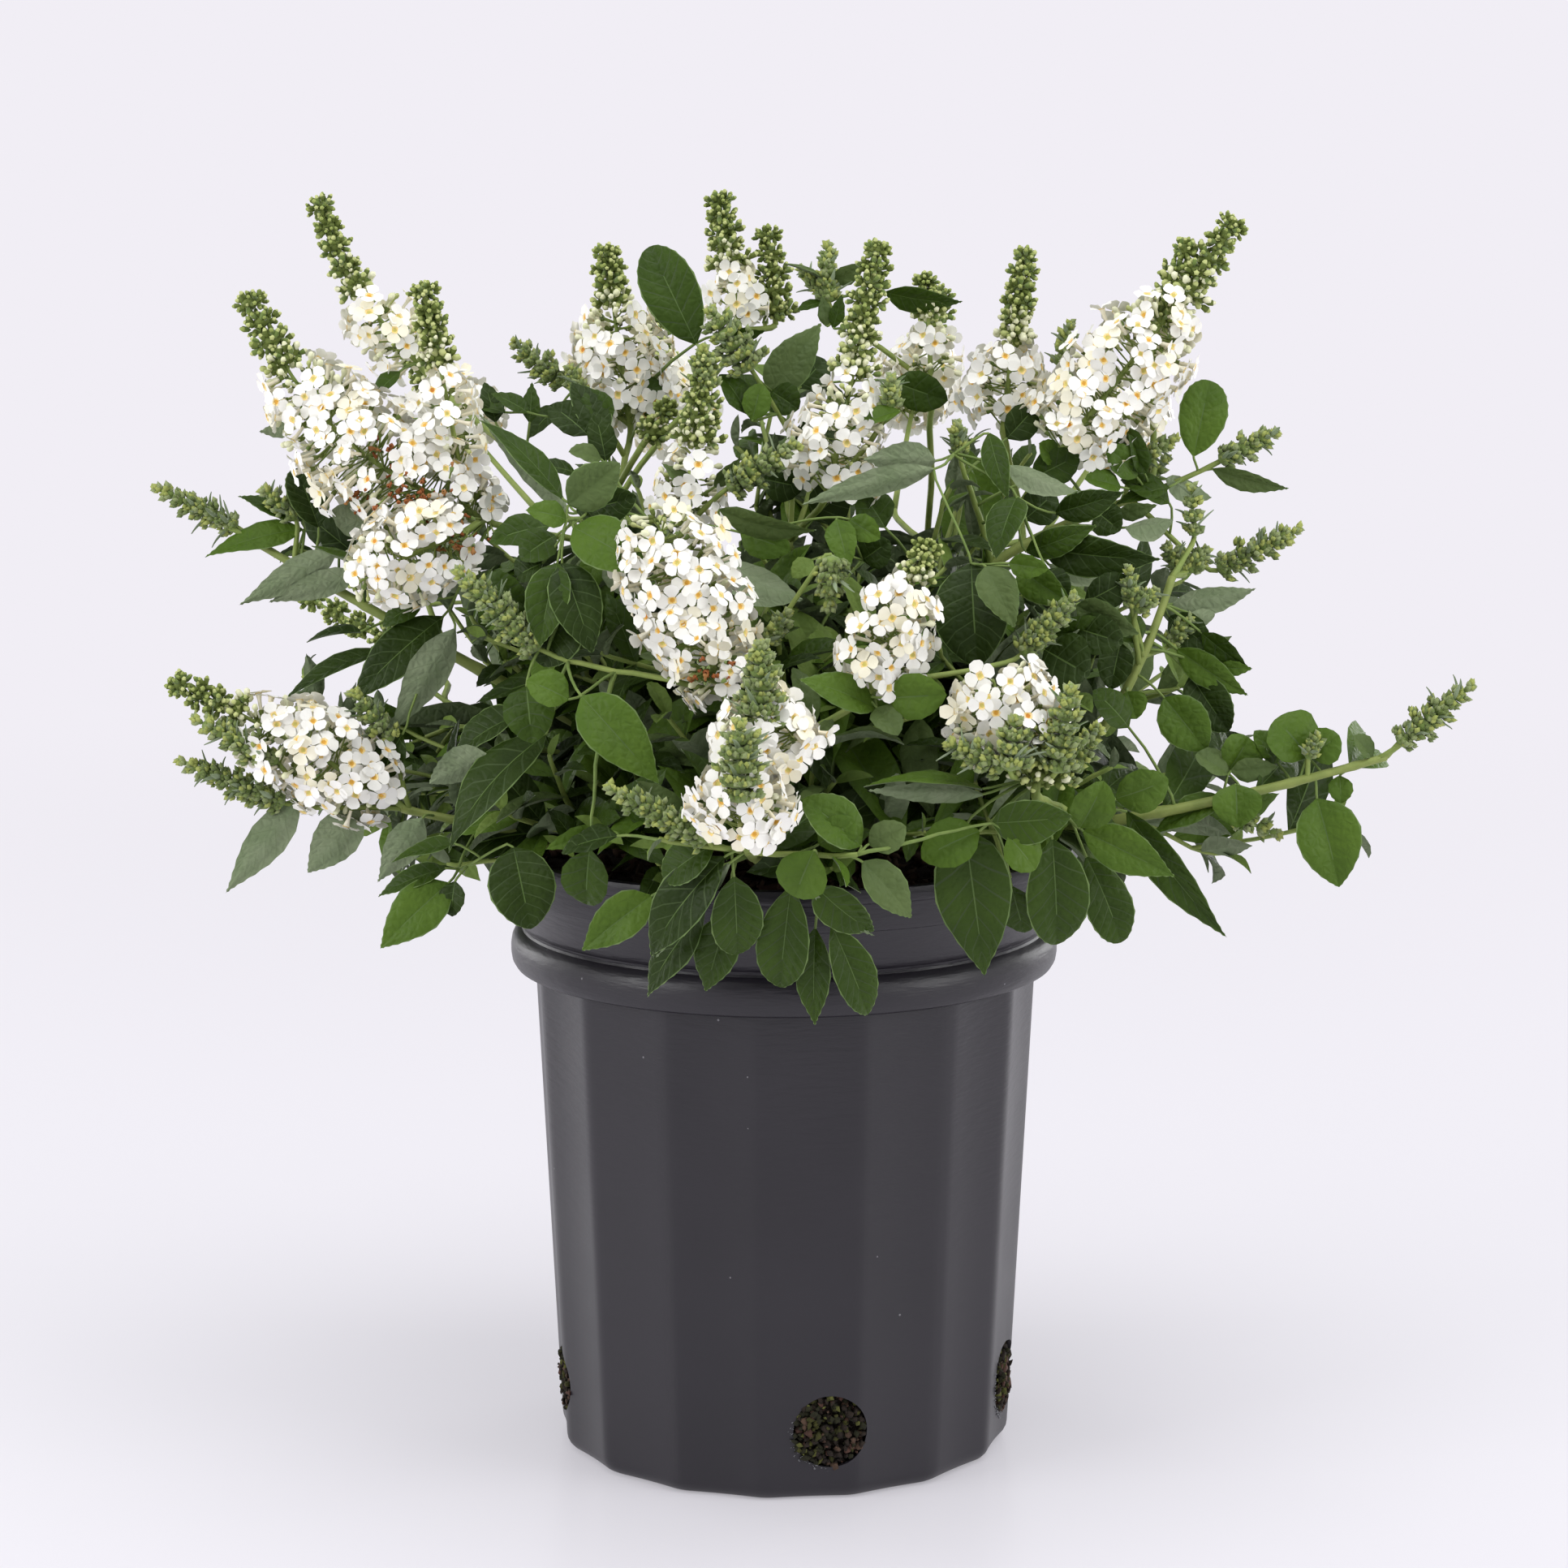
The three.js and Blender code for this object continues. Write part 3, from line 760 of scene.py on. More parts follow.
# ---- leaves ----
# Places along a leaf: both edges of each sunken side vein, and a crest between every two.
def leafStations(veins, strip):
    crests = np.linspace(0, 1, veins + 1)
    sunk = (crests[1:] + crests[:-1]) / 2
    return np.sort(np.concatenate([crests, sunk - strip, sunk + strip]))


# Grades of leaf: fine ones that show by themselves, plain ones, plain ones at the back, and
# small ones at the tips, which have no veins.
plainLeaf = {"slant": 0.2, "tooth": 0.3, "quilt": 0.38, "thick": 0.22, "rib": 0.4,
             "top": np.array([-1, -0.5, -0.03, 0.03, 0.5, 1]), "under": np.array([-1, -0.5, 0, 0.5, 1])}
leafGrades = {
    "fine": {"along": leafStations(8, 0.006), "slant": 0.22, "tooth": 0.34, "quilt": 0.42, "thick": 0.22,
             "rib": 0.5, "top": np.array([-1, -0.972, -0.5, -0.02, 0.02, 0.5, 0.972, 1]),
             "under": np.array([-1, -0.972, -0.5, 0, 0.5, 0.972, 1])},
    "plain": {**plainLeaf, "along": leafStations(5, 0.009)},
    "far": {**plainLeaf, "along": leafStations(4, 0.01)},
    "small": {"along": np.linspace(0, 1, 8), "slant": 0.05, "tooth": 0, "quilt": 0, "thick": 0.22,
              "rib": 0.2, "top": np.array([-1, 0, 1]), "under": np.array([-1, 0, 1])},
}
leafTops = {"front": newPile(), "back": newPile()}
leafUnders = {"front": newPile(), "back": newPile()}
# Tones and tints of the upper side by their place in leafTints, and of the underside; the underside's vein
# strips take a darker felt, which is painted shade beside its raised veins.
tipTone, bractTone, ribTint, rimTint, veinTint = 4, 5, 6, 7, 8
underFelt, underBract, underVeinShade = 0, 1, 2
bendSteps = 60  # steps in which the bend of a leaf is summed up
frontTill = 30  # leaves whose foot is farther back than this are among those at the back


# Points of one side of a leaf, from edge to edge at each station along it.
def leafSide(grade, across, leaf, depth):
    t = grade["along"][:, None]
    v = across[None]
    fine = np.linspace(0, 1, bendSteps)
    angles = leaf["bend"] * (fine ** 1.3 - 0.4)
    runs = np.concatenate([[0], np.cumsum(np.cos(angles[1:]))]) / (bendSteps - 1) * leaf["length"]
    drops = -np.concatenate([[0], np.cumsum(np.sin(angles[1:]))]) / (bendSteps - 1) * leaf["length"]
    u = t + grade["slant"] * np.abs(v) * 4 * t * (1 - t)  # side veins slant towards the tip
    angle, run, drop = (np.interp(u, fine, x) for x in (angles, runs, drops))
    low, high = leaf["outline"]
    peak = low / (low + high)
    outline = (u ** low * (1 - u) ** high) / (peak ** low * (1 - peak) ** high)
    half = leaf["width"] / 2 * outline + 0.45 * (1 - u)
    index = np.arange(len(t))[:, None]
    edge = (np.abs(v) == 1) & (index > 1) & (index < len(t) - 2)
    half = half + edge * grade["tooth"] * (index % 3 == 0)
    lift = np.abs(v) * half * math.sin(leaf["fold"])
    lift = lift + leaf["width"] * 0.09 * outline * 4 * np.abs(v) * (1 - np.abs(v))
    quilt = grade["quilt"] * np.where(index % 3, -1, 1) * np.abs(v) * (1 - np.abs(v)) * 4
    lift = lift + quilt * np.minimum(1, leaf["width"] / 14) * outline
    ripple = np.sin(2 * math.pi * leaf["waves"] * t + leaf["phase"] + (v > 0) * 2.1)
    lift = lift + leaf["wave"] * v ** 2 * ripple * outline
    lift = lift - depth * (1 - v ** 4) - (depth > 0) * (v == 0) * grade["rib"] * (1 - t * 0.7)
    wide = v * half * math.cos(leaf["fold"])
    turn = leaf["twist"] * u
    normal = np.cos(angle)[..., None] * leaf["upper"] + np.sin(angle)[..., None] * leaf["heading"]
    across3 = (wide * np.cos(turn) - lift * np.sin(turn))[..., None] * leaf["side"]
    raised = (wide * np.sin(turn) + lift * np.cos(turn))[..., None] * normal
    return (leaf["base"] + run[..., None] * leaf["heading"] + drop[..., None] * leaf["upper"]
            + across3 + raised)


# One leaf. upper is the way that its upper side faces; tone is one of the greens.
def addLeaf(base, heading, upper, length, width, tone, bend=0.5, fold=0.25, twist=0.0,
            grade="plain", tip=0.9):
    heading = unit(heading)
    upper = unit(upper - heading * np.dot(upper, heading))
    leaf = {"base": np.asarray(base, float), "heading": heading, "upper": upper,
            "side": np.cross(upper, heading), "length": length, "width": width, "bend": bend,
            "fold": fold, "twist": twist, "wave": rng.uniform(0.15, 0.8) * width / 18,
            "waves": rng.uniform(1.2, 2.8), "phase": rng.uniform(0, 6.3),
            "outline": (0.75 if length < width * 2.2 else 0.92, tip)}
    where = "front" if base[1] < frontTill else "back"
    make = leafGrades["far" if grade == "plain" and where == "back" else grade]
    top = leafSide(make, make["top"], leaf, 0)
    rows, columns = len(make["along"]), len(make["top"])
    tints = np.full((rows - 1, columns - 1), tone)
    underTint = np.full((rows - 1, len(make["under"]) - 1),
                        underFelt if tone < bractTone else underBract)
    if grade != "small":
        # the underside's side-vein strips take a darker felt: painted shade beside the raised veins
        underTint[1::3] = underVeinShade
    if grade != "small" and tone < 2:
        tints[1::3] = veinTint
    if grade != "small" and tone < 3:
        tints[:rows * 2 // 3, columns // 2 - 1] = ribTint
    if grade == "fine":
        tints[:, [0, -1]] = rimTint
    heap(leafTops[where], top.reshape(-1, 3), gridFaces(rows, columns), fourTint=tints.ravel())
    under = leafSide(make, make["under"], leaf, make["thick"])
    faces = gridFaces(rows, len(make["under"]))[:, [0, 3, 2, 1]]  # the same diagonals as above
    heap(leafUnders[where], under.reshape(-1, 3), faces, fourTint=underTint.ravel())


# ---- flower spikes ----
# Each row: foot and tip as pixel across, pixel down and depth; width; share of the length in
# open flower; width of the bud part at its foot and tip; bud tiers; how the open part draws in
# below and above; how full of florets it is; and the share that is bare stalk at the foot, if any.
spikes = {
    "left_tall": ((600, 640, -30), (305, 366, -5), 42, 0.74, (19, 12), 4, (0.35, 0.3), 1),
    "rear_left_tall": ((516, 448, 50), (391, 247, 60), 28, 0.44, (16, 10), 5, (0.25, 0.35), 0.75),
    "left_inner": ((578, 640, -25), (521, 353, -25), 25, 0.64, (16, 9), 5, (0.25, 0.4), 0.5, 0.22),
    "left_lower": ((572, 655, -48), (432, 722, -58), 33, 0.97, (12, 8), 0, (0.3, 0.35), 1),
    "low_left": ((482, 985, -60), (214, 840, -60), 34, 0.66, (17, 9), 4, (0.3, 0.35), 1),
    "upper_left": ((776, 524, 30), (747, 307, 45), 35, 0.66, (16, 10), 4, (0.3, 0.3), 1.05),
    "upper_left_side": ((790, 550, 8), (824, 498, 12), 12, 0.0, (13, 9), 2, (0.3, 0.3), 1),
    "top_middle": ((910, 402, 100), (885, 242, 110), 24, 0.42, (20, 10), 5, (0.2, 0.4), 0.7),
    "top_middle_young": ((955, 400, 105), (945, 284, 115), 14, 0.0, (20, 10), 5, (0.3, 0.3), 1),
    "middle": ((843, 652, -30), (868, 440, -30), 27, 0.46, (20, 9), 5, (0.3, 0.4), 0.7),
    "front_middle": ((892, 858, -110), (803, 629, -95), 37, 0.96, (15, 10), 0, (0.3, 0.24), 1.1),
    "upper_middle": ((1020, 608, -20), (1082, 303, 0), 36, 0.46, (18, 11), 8, (0.25, 0.5), 0.8),
    "top_right": ((1146, 478, 60), (1140, 342, 70), 23, 0.6, (14, 8), 3, (0.3, 0.45), 0.8),
    "upper_right": ((1236, 522, 20), (1264, 311, 30), 32, 0.46, (15, 9), 6, (0.25, 0.45), 0.75),
    "right_tall": ((1306, 556, 0), (1521, 273, 20), 40, 0.66, (22, 10), 5, (0.25, 0.4), 0.95),
    "right_tall_side": ((1420, 410, 16), (1462, 300, 18), 14, 0.0, (16, 9), 4, (0.3, 0.3), 1),
    "front_right": ((1074, 850, -115), (1144, 671, -105), 29, 0.74, (12, 9), 3, (0.3, 0.4), 1),
    "low_right": ((1266, 962, -125), (1220, 828, -122), 38, 0.98, (14, 10), 0, (0.3, 0.3), 1.1, 0.26),
    "low_right_buds": ((1276, 985, -132), (1286, 890, -138), 18, 0.12, (19, 12), 3, (0.3, 0.3), 0.6),
    "front_upper": ((945, 941, -145), (935, 806, -150), 37, 0.62, (13, 9), 2, (0.3, 0.5), 1),
    "front_lower": ((914, 1028, -165), (912, 910, -172), 33, 0.74, (13, 9), 2, (0.3, 0.5), 1),
}
# How far the middle of a spike is bowed to the right of the way that it grows, in the view.
bows = {"left_tall": -12, "rear_left_tall": -5, "right_tall": 3}
# Feet and tips as places, for the side that faces away.
backSpikes = {
    "back_left": ((-92, 104, 325), (-148, 150, 388), 34, 0.72, (17, 10), 3, (0.3, 0.4), 1, 0.42),
    "back_middle": ((-32, 122, 322), (-52, 178, 394), 34, 0.72, (16, 10), 4, (0.3, 0.45), 0.9, 0.42),
    "back_right": ((42, 120, 325), (62, 176, 404), 34, 0.72, (18, 10), 4, (0.3, 0.4), 1, 0.42),
    "back_outer": ((98, 100, 318), (150, 142, 388), 36, 0.74, (17, 10), 3, (0.3, 0.35), 1, 0.4),
    "back_low_left": ((-128, 98, 262), (-186, 146, 288), 24, 0.0, (15, 9), 6, (0.3, 0.4), 1, 0.1),
}
# Young felted spikes: foot, tip and width.
youngs = [
    ((872, 1036, -155), (746, 968, -150), 12), ((292, 650, 0), (187, 599, 0), 11),
    ((664, 800, -95), (560, 700, -95), 14), ((1502, 568, 10), (1576, 531, 10), 11),
    ((1471, 662, -20), (1467, 594, -20), 9), ((1500, 703, 0), (1603, 650, 0), 13),
    ((1394, 750, -60), (1390, 697, -60), 8), ((1258, 806, -90), (1326, 730, -90), 11),
    ((1722, 916, -60), (1815, 843, -60), 13), ((1516, 1004, -60), (1578, 1030, -60), 9),
    ((1020, 372, 60), (1019, 298, 70), 10), ((694, 474, 40), (630, 420, 40), 12),
    ((1024, 684, -100), (1021, 752, -100), 13), ((350, 990, -60), (217, 936, -62), 12),
    ((342, 940, -66), (236, 884, -66), 12), ((482, 915, -60), (434, 850, -60), 12),
    ((364, 640, 0), (322, 600, 0), 9), ((1304, 452, 20), (1320, 394, 22), 9),
    ((1097, 500, -18), (1098, 464, -18), 9), ((926, 456, 0), (872, 378, 0), 18),
    ((944, 792, -96), (972, 752, -96), 8), ((896, 602, -40), (984, 545, -40), 13),
    ((1300, 952, -140), (1320, 842, -140), 15), ((1238, 946, -142), (1164, 914, -140), 13),
    ((1244, 950, -145), (1252, 880, -142), 15), ((1304, 962, -130), (1356, 892, -128), 12),
    ((936, 900, -158), (938, 788, -154), 17), ((911, 990, -180), (911, 884, -178), 17),
    ((868, 480, -30), (866, 426, -30), 11), ((1400, 610, 10), (1440, 560, 12), 9),
    ((1182, 560, -10), (1178, 520, -8), 8), ((1010, 360, 62), (985, 330, 64), 6),
    ((718, 490, 20), (700, 452, 22), 8), ((1458, 706, -20), (1436, 672, -20), 10),
    ((1464, 702, -20), (1486, 678, -18), 10), ((1440, 796, -34), (1468, 760, -34), 9),
    ((1400, 752, -60), (1424, 728, -58), 9), ((1400, 566, 0), (1452, 538, 2), 7),
    ((1612, 932, -64), (1623, 906, -64), 7),
]
# Millimetres between florets, of their tubes and between tiers; lean is how much more a floret
# points up the spike from its foot to its tip, and stray is how far it strays from that.
flower = {"gap": 7.6, "tube": 7.0, "tier": 11, "stalk": (1.25, 0.5), "steps": 16, "lean": 0.9,
          "stray": 0.26, "shut": 0.07, "inner": 0.35}
young = {"tier": 3.9, "scale": 2.7, "crowd": 4.4, "bract": 3, "stalk": (0.9, 0.5), "steps": 9,
         "thinnest": 1.5}


# A four-lobed floret about 10 mm across, open to its own degree. Its Z points out of the throat.
def floretShape(cup, curl):
    spread = np.radians([-82, -45, 0, 45, 82])
    rows = [np.stack([np.full(5, 1.05), np.linspace(-0.95, 0.95, 5)], -1),
            np.stack([np.full(5, 2.6), np.linspace(-2.3, 2.3, 5)], -1),
            np.stack([3.15 + 1.85 * np.cos(spread), 2.45 * np.sin(spread)], -1)]
    lobes = []
    for lobe in range(4):
        turn = lobe * math.pi / 2 + rng.normal(0, 0.05)
        tilt = cup + rng.normal(0, 0.07)
        for step, row in enumerate(rows):
            x, y = row[:, 0], row[:, 1]
            z = (x - 1) * tilt + (step == 2) * (curl + rng.normal(0, 0.24, 5)) - (step == 1) * 0.15
            z = z + (step == 1) * 0.4 * (np.abs(y) / 2.3) ** 2 + lobe % 2 * 0.12
            shrink = 1 - 0.22 * abs(tilt)
            lobes.append(np.column_stack([(x * math.cos(turn) - y * math.sin(turn)) * shrink,
                                          (x * math.sin(turn) + y * math.cos(turn)) * shrink, z]))
    faces = np.concatenate([gridFaces(3, 5) + lobe * 15 for lobe in range(4)])
    return {"points": np.concatenate(lobes), "fours": faces, "threes": []}


# Forms of floret: cup, curl and share of them all.
floretForms = [(0.05, 0, 0.26), (0.2, -0.2, 0.2), (-0.12, -0.25, 0.16), (0.35, 0.1, 0.12), (0.0, 0.25, 0.14),
               (0.6, 0.3, 0.04), (0.12, -0.4, 0.08)]
floretShapes = [floretShape(cup, curl) for cup, curl, _ in floretForms]
throatRing = turnedShape([(0.85, -0.28), (1.5, 0.13)], 6)
throatHollow = turnedShape([(0, -1.0), (0.85, -0.28)], 6)
tubeShape = turnedShape([(0.5, -7.4), (0.74, -2.2), (1.2, -0.1)], 5)
calyxShape = turnedShape([(0, -1.3), (0.78, -0.3), (1.0, 1.25)], 5)
budShape = turnedShape([(0.72, 0.5), (0.84, 1.3), (0.5, 2.05), (0, 2.3)], 5)
ballShape = turnedShape([(0.4, -3.2), (0.5, -0.7), (1.0, 0.3), (0.85, 1.3), (0, 1.8)], 5)
coreShape = turnedShape([(0, -1), (0.8, -0.6), (1, 0), (0.8, 0.6), (0, 1)], 6)
scaleShape = turnedShape([(0.55, 0), (0.9, 0.9), (0, 2.2)], 4)
stickShape = turnedShape([(0.4, 0), (0.3, 1)], 3)
driedShape = turnedShape([(0.5, 0), (0.9, 1.2), (0.6, 2.4), (1.4, 3.8), (0.7, 4.6)], 5)
driedShape["points"] = driedShape["points"] + rng.normal(0, 0.3, driedShape["points"].shape)

budGreen, budPale, budCream = 0, 1, 2  # places in budTints
# Everything small on the spikes, gathered by kind: place, direction, size and tint.
small = {kind: [] for kind in ("floret", "bud", "ball", "calyx", "core", "scale", "stick", "dried")}


def gather(kind, places, ways, sizes, tints=0):
    count = len(places)
    sizes = np.broadcast_to(np.asarray(sizes, float).reshape(-1, 1) if np.ndim(sizes) < 2 else sizes,
                            (count, 3))
    small[kind].append((np.asarray(places, float), np.asarray(ways, float), sizes,
                        np.broadcast_to(tints, count)))


# Sizes of sticks that reach this far.
def stickSizes(reach):
    return np.column_stack([reach * 0 + 1, reach * 0 + 1, reach])


# Two directions across a spike's axis.
def crosswise(axis):
    side = unit(np.cross(axis, [0.3, 0.9, 0.1]))
    return side, np.cross(axis, side)


# One tier of buds: two large lumps and two small ones round the stalk.
def budTier(centre, axis, radius, half, size, tints, turn, cream):
    side, over = crosswise(axis)
    for quarter in range(4):
        angle = turn + quarter * math.pi / 2 + rng.normal(0, 0.15)
        out = side * math.cos(angle) + over * math.sin(angle)
        across = np.cross(axis, out)
        large = quarter % 2 == 0
        lump = radius * (0.5 if large else 0.4)
        count = 11 if large else 7
        index = np.arange(count) + 0.5
        level = 1 - 1.5 * index / count
        ring = np.sqrt(1 - level ** 2)
        spin = index * goldenTurn + rng.uniform(0, 6)
        part = np.column_stack([level, ring * np.cos(spin), ring * np.sin(spin)])
        turned = part[:, :1] * out + part[:, 1:2] * axis + part[:, 2:] * across
        reach = radius * (1.0 if large else 0.8) - lump - size
        places = (centre + out * reach + part[:, :1] * lump * out + part[:, 2:] * lump * across
                  + part[:, 1:2] * half * axis + rng.normal(0, 0.12, (count, 3)))
        ways = unit(turned + axis * 0.4 + rng.normal(0, 0.14, (count, 3)))
        sizes = size * rng.uniform(0.82, 1.16, count)
        ripe = rng.random(count) < cream
        gather("ball", places[ripe], ways[ripe], sizes[ripe] * 1.05,
               rng.choice([budPale, budCream, budCream], ripe.sum()))
        gather("bud", places[~ripe], ways[~ripe], sizes[~ripe], rng.choice(tints, (~ripe).sum()))
        gather("calyx", places - ways * (ripe * 2.4)[:, None], ways, sizes, rng.choice([0, 0, 1], count))
        gather("stick", [centre - axis * 1.5], [out + axis * 0.4], [[1.3, 1.3, reach + 1]], 0)
    gather("core", [centre], [axis], [[radius * 0.5, radius * 0.5, half * 0.9]], 0)


# The bud part of a spike: tiers that shrink towards the tip.
def budTop(path, openTo, widths, tiers, creamTo):
    count = len(path) - 1
    length = np.linalg.norm(path[-1] - path[0]) * (1 - openTo)
    for tier in range(tiers):
        share = (tier + 0.72) / tiers
        t = mix(openTo, 1, share) * count
        index = min(int(t), count - 1)
        centre = mix(path[index], path[index + 1], t - index)
        axis = unit(path[index + 1] - path[index])
        radius = mix(widths[0], widths[1], share ** 0.8) / 2 * rng.uniform(1.0, 1.16)
        half = min(length / tiers * 0.33, radius * 0.7)
        tints = [budGreen, budPale, budPale] if share < 0.6 else [budGreen, budGreen, budPale]
        if share < creamTo:
            tints = [budPale, budPale, budCream]
        cream = max(0, 1 - share / creamTo) * 0.8 if creamTo else 0
        budTier(centre, axis, radius, half, mix(1.22, 0.95, share), tints, tier * math.pi / 2, cream)
    axis = unit(path[-1] - path[-2])
    tip = path[-1] - axis
    gather("bud", [tip], [axis], [1.0], budGreen)
    gather("calyx", [tip], [axis], [1.0], 0)


# Withered clusters: the spike that holds them, pixel across, pixel down, depth, spread and count.
withered = [("left_tall", 514, 616, -46, 6, 40), ("left_tall", 566, 656, -46, 4.5, 26),
            ("left_tall", 474, 562, -34, 3, 10), ("left_tall", 436, 612, -34, 2.5, 9),
            ("front_middle", 866, 832, -124, 4, 12), ("left_lower", 560, 672, -54, 3.5, 12),
            ("low_left", 452, 976, -66, 2.5, 5)]
spikePaths = {}


# True for the places of a spike whose florets have withered.
def spentHere(name, places):
    across, down, scale = onView(places)
    spent = np.zeros(len(places), bool)
    for holder, x, y, depth, spread, _ in withered:
        close = np.hypot(across - x, down - y) < spread * 1.5 * scale
        spent |= close & (places[:, 1] < depth + 45) & (holder == name)
    return spent


def addWithered(name, across, down, depth, spread, count):
    path = spikePaths[name]
    centre = seen(across, down, depth)
    places = centre + rng.normal(0, spread, (count, 3)) * [1, 0.5, 0.8]
    gaps = np.linalg.norm(places[:, None] - path[None], axis=2)
    holders = path[gaps.argmin(1)]
    stalks = holders - places
    reach = np.linalg.norm(stalks, axis=1)
    ways = unit(rng.normal(0, 0.5, (count, 3)) - unit(stalks))
    gather("dried", places, ways, rng.uniform(0.4, 0.72, count), rng.choice([0, 0, 1], count))
    gather("stick", places, stalks, stickSizes(reach), 0)
    gather("calyx", places - ways, ways, rng.uniform(0.6, 0.9, count), 1)


# The open part of a spike: florets facing outwards in tiers round the axis, with cream buds between.
def openPart(name, path, start, openTo, width, shape, full):
    length = np.linalg.norm(path[-1] - path[0]) * (openTo - start)
    if length < 5:
        return
    count = int(math.pi * width * 0.82 * (length + width * 0.35) / flower["gap"] ** 2 * full)
    low, high = shape
    share = (np.arange(count) + 0.5) / count
    tiers = max(2, round(length / flower["tier"]))
    tier = np.floor(share * tiers)
    share = mix(share, (tier + 0.5) / tiers, 0.2)
    share = np.clip(share + rng.normal(0, 0.015, count), 0.004, 0.996)
    peak = low / (low + high)
    swell = (share + 0.02) ** low * (1.02 - share) ** high / (peak ** low * (1 - peak) ** high)
    t = mix(start, openTo, share) * (len(path) - 1)
    index = np.minimum(t.astype(int), len(path) - 2)
    centre = path[index] + (path[index + 1] - path[index]) * (t - index)[:, None]
    axis = unit(path[-1] - path[0])
    side, over = crosswise(axis)
    angle = np.arange(count) * goldenTurn + rng.normal(0, 0.14, count)
    outward = fanOut(side, over, angle)
    radius = width / 2 * swell * rng.uniform(0.8, 1.06, count)
    radius = radius * (1 + 0.08 * np.cos(2 * angle + tier * math.pi))
    tilt = (share - 0.35) * flower["lean"]
    stray = rng.normal(0, flower["stray"], (count, 3))
    ways = unit(outward + axis * tilt[:, None] + stray - upwards * 0.1)
    places = centre + outward * radius[:, None] + axis * (np.maximum(share - 0.9, 0) * 30)[:, None]
    feet = places - ways * np.minimum(flower["tube"], radius * 0.8)[:, None]
    fresh = ~spentHere(name, places)
    unopened = flower["shut"] + 0.5 * np.maximum(share - 0.7, 0) / 0.3 + 0.3 * (1 - min(full, 1))
    budlike = fresh & (rng.random(count) < unopened)
    flowering = fresh & ~budlike
    size = rng.uniform(0.92, 1.12, count)
    age = np.where(rng.random(count) < 0.3 + 0.5 * share, 0, 1) + (rng.random(count) < 0.12)
    gather("floret", places[flowering], ways[flowering], size[flowering], age[flowering])
    gather("ball", (places - ways * 2.0)[budlike], ways[budlike], size[budlike] * 1.2, budCream)
    gather("calyx", feet[fresh], ways[fresh], size[fresh] * 0.95, rng.choice([0, 0, 1], fresh.sum()))
    stalk = centre - axis * 2.5 - feet
    reach = np.linalg.norm(stalk, axis=1)
    gather("stick", feet[fresh], unit(stalk)[fresh], stickSizes(reach)[fresh], 0)
    inner = fresh & (rng.random(count) < flower["inner"])
    gather("ball", (centre + outward * (radius * 0.68)[:, None] + axis * 3)[inner], ways[inner],
           rng.uniform(0.75, 1.15, inner.sum()), rng.choice([budPale, budCream, budCream], inner.sum()))


clearings = []  # capsules of the view that loose leaves keep out of


def keepClear(foot, tip, width, share=0.5):
    for low, high in ((0, 0.5), (0.5, 1)):
        a, b = mix(foot, tip, low), mix(foot, tip, high)
        (ax, ay, scale), (bx, by, _) = onView(a), onView(b)
        clearings.append((ax, ay, bx, by, width * scale * share, max(a[1], b[1])))


def addSpike(name, foot, tip, width, openTo, budWidths, tiers, shape, full, start=0):
    length = np.linalg.norm(tip - foot)
    way = unit(tip - foot)
    path = mix(foot, tip, np.linspace(0, 1, flower["steps"])[:, None])
    bow = unit(np.cross(way, [0.2, -1, 0.1])) * (rng.uniform(-0.02, 0.02) * length + bows.get(name, 0))
    path = path + bow * np.sin(np.linspace(0, math.pi, flower["steps"]))[:, None]
    growTwig(foot, way, flower["stalk"][0])
    tube(twigPile, path[:-1], np.linspace(*flower["stalk"], len(path) - 1), 6, 0)
    openPart(name, path, start, openTo, width, shape, full)
    budTop(path, openTo, budWidths, tiers, 0.4 if openTo > 0.1 else 0.0)
    keepClear(foot, tip, width)
    spikePaths[name] = path


def addYoung(foot, tip, width):
    length = np.linalg.norm(tip - foot)
    way = unit(tip - foot)
    growTwig(foot, way, young["stalk"][0])
    path = mix(foot, tip, np.linspace(0, 1, young["steps"])[:, None])
    tube(twigPile, path[:-1], np.linspace(*young["stalk"], len(path) - 1), 5, 1)
    tiers = max(4, int(length / young["tier"]))
    side, over = crosswise(way)
    for tier in range(tiers):
        share = (tier + 0.5) / tiers
        radius = width / 2 * (1 - share ** 2) ** 0.6 * (0.8 if share < 0.2 else 1)
        radius = max(radius * rng.uniform(0.92, 1.08), young["thinnest"])
        count = int(max(6, 2 * math.pi * radius * young["crowd"] / young["scale"]))
        angle = np.arange(count) * goldenTurn + rng.uniform(0, 6)
        outward = fanOut(side, over, angle)
        along = share * length + rng.uniform(-1.3, 1.3, count)
        bulge = 0.92 + 0.24 * np.cos(2 * (angle - tier * math.pi / 2))
        places = foot + way * along[:, None] + outward * (radius * bulge * rng.uniform(0.55, 1, count)
                                                          - 0.9)[:, None]
        ways = unit(outward + way * 0.8 + rng.normal(0, 0.25, (count, 3)))
        sizes = rng.uniform(0.85, 1.35, count)
        gather("scale", places, ways, np.column_stack([sizes, sizes, sizes]),
               rng.choice([0, 0, 1, 2] if share < 0.8 else [1, 2], count))
        gather("core", [foot + way * share * length], [way], [[radius * 0.68, radius * 0.68, 2.4]], 1)
    for _ in range(max(5, int(length / young["bract"]))):
        angle = rng.uniform(0, 6.3)
        outward = side * math.cos(angle) + over * math.sin(angle)
        share = rng.uniform(0, 0.85) ** 1.3
        start = foot + way * length * share
        addLeaf(start, outward + way * rng.uniform(0.3, 1.0), way,
                width / 2 + mix(5, 1, share) * rng.uniform(0.7, 1.3), rng.uniform(1.0, 1.8), bractTone,
                rng.uniform(-0.3, 0.7), 0.4, grade="small")
    keepClear(foot, tip, width, 0.6)


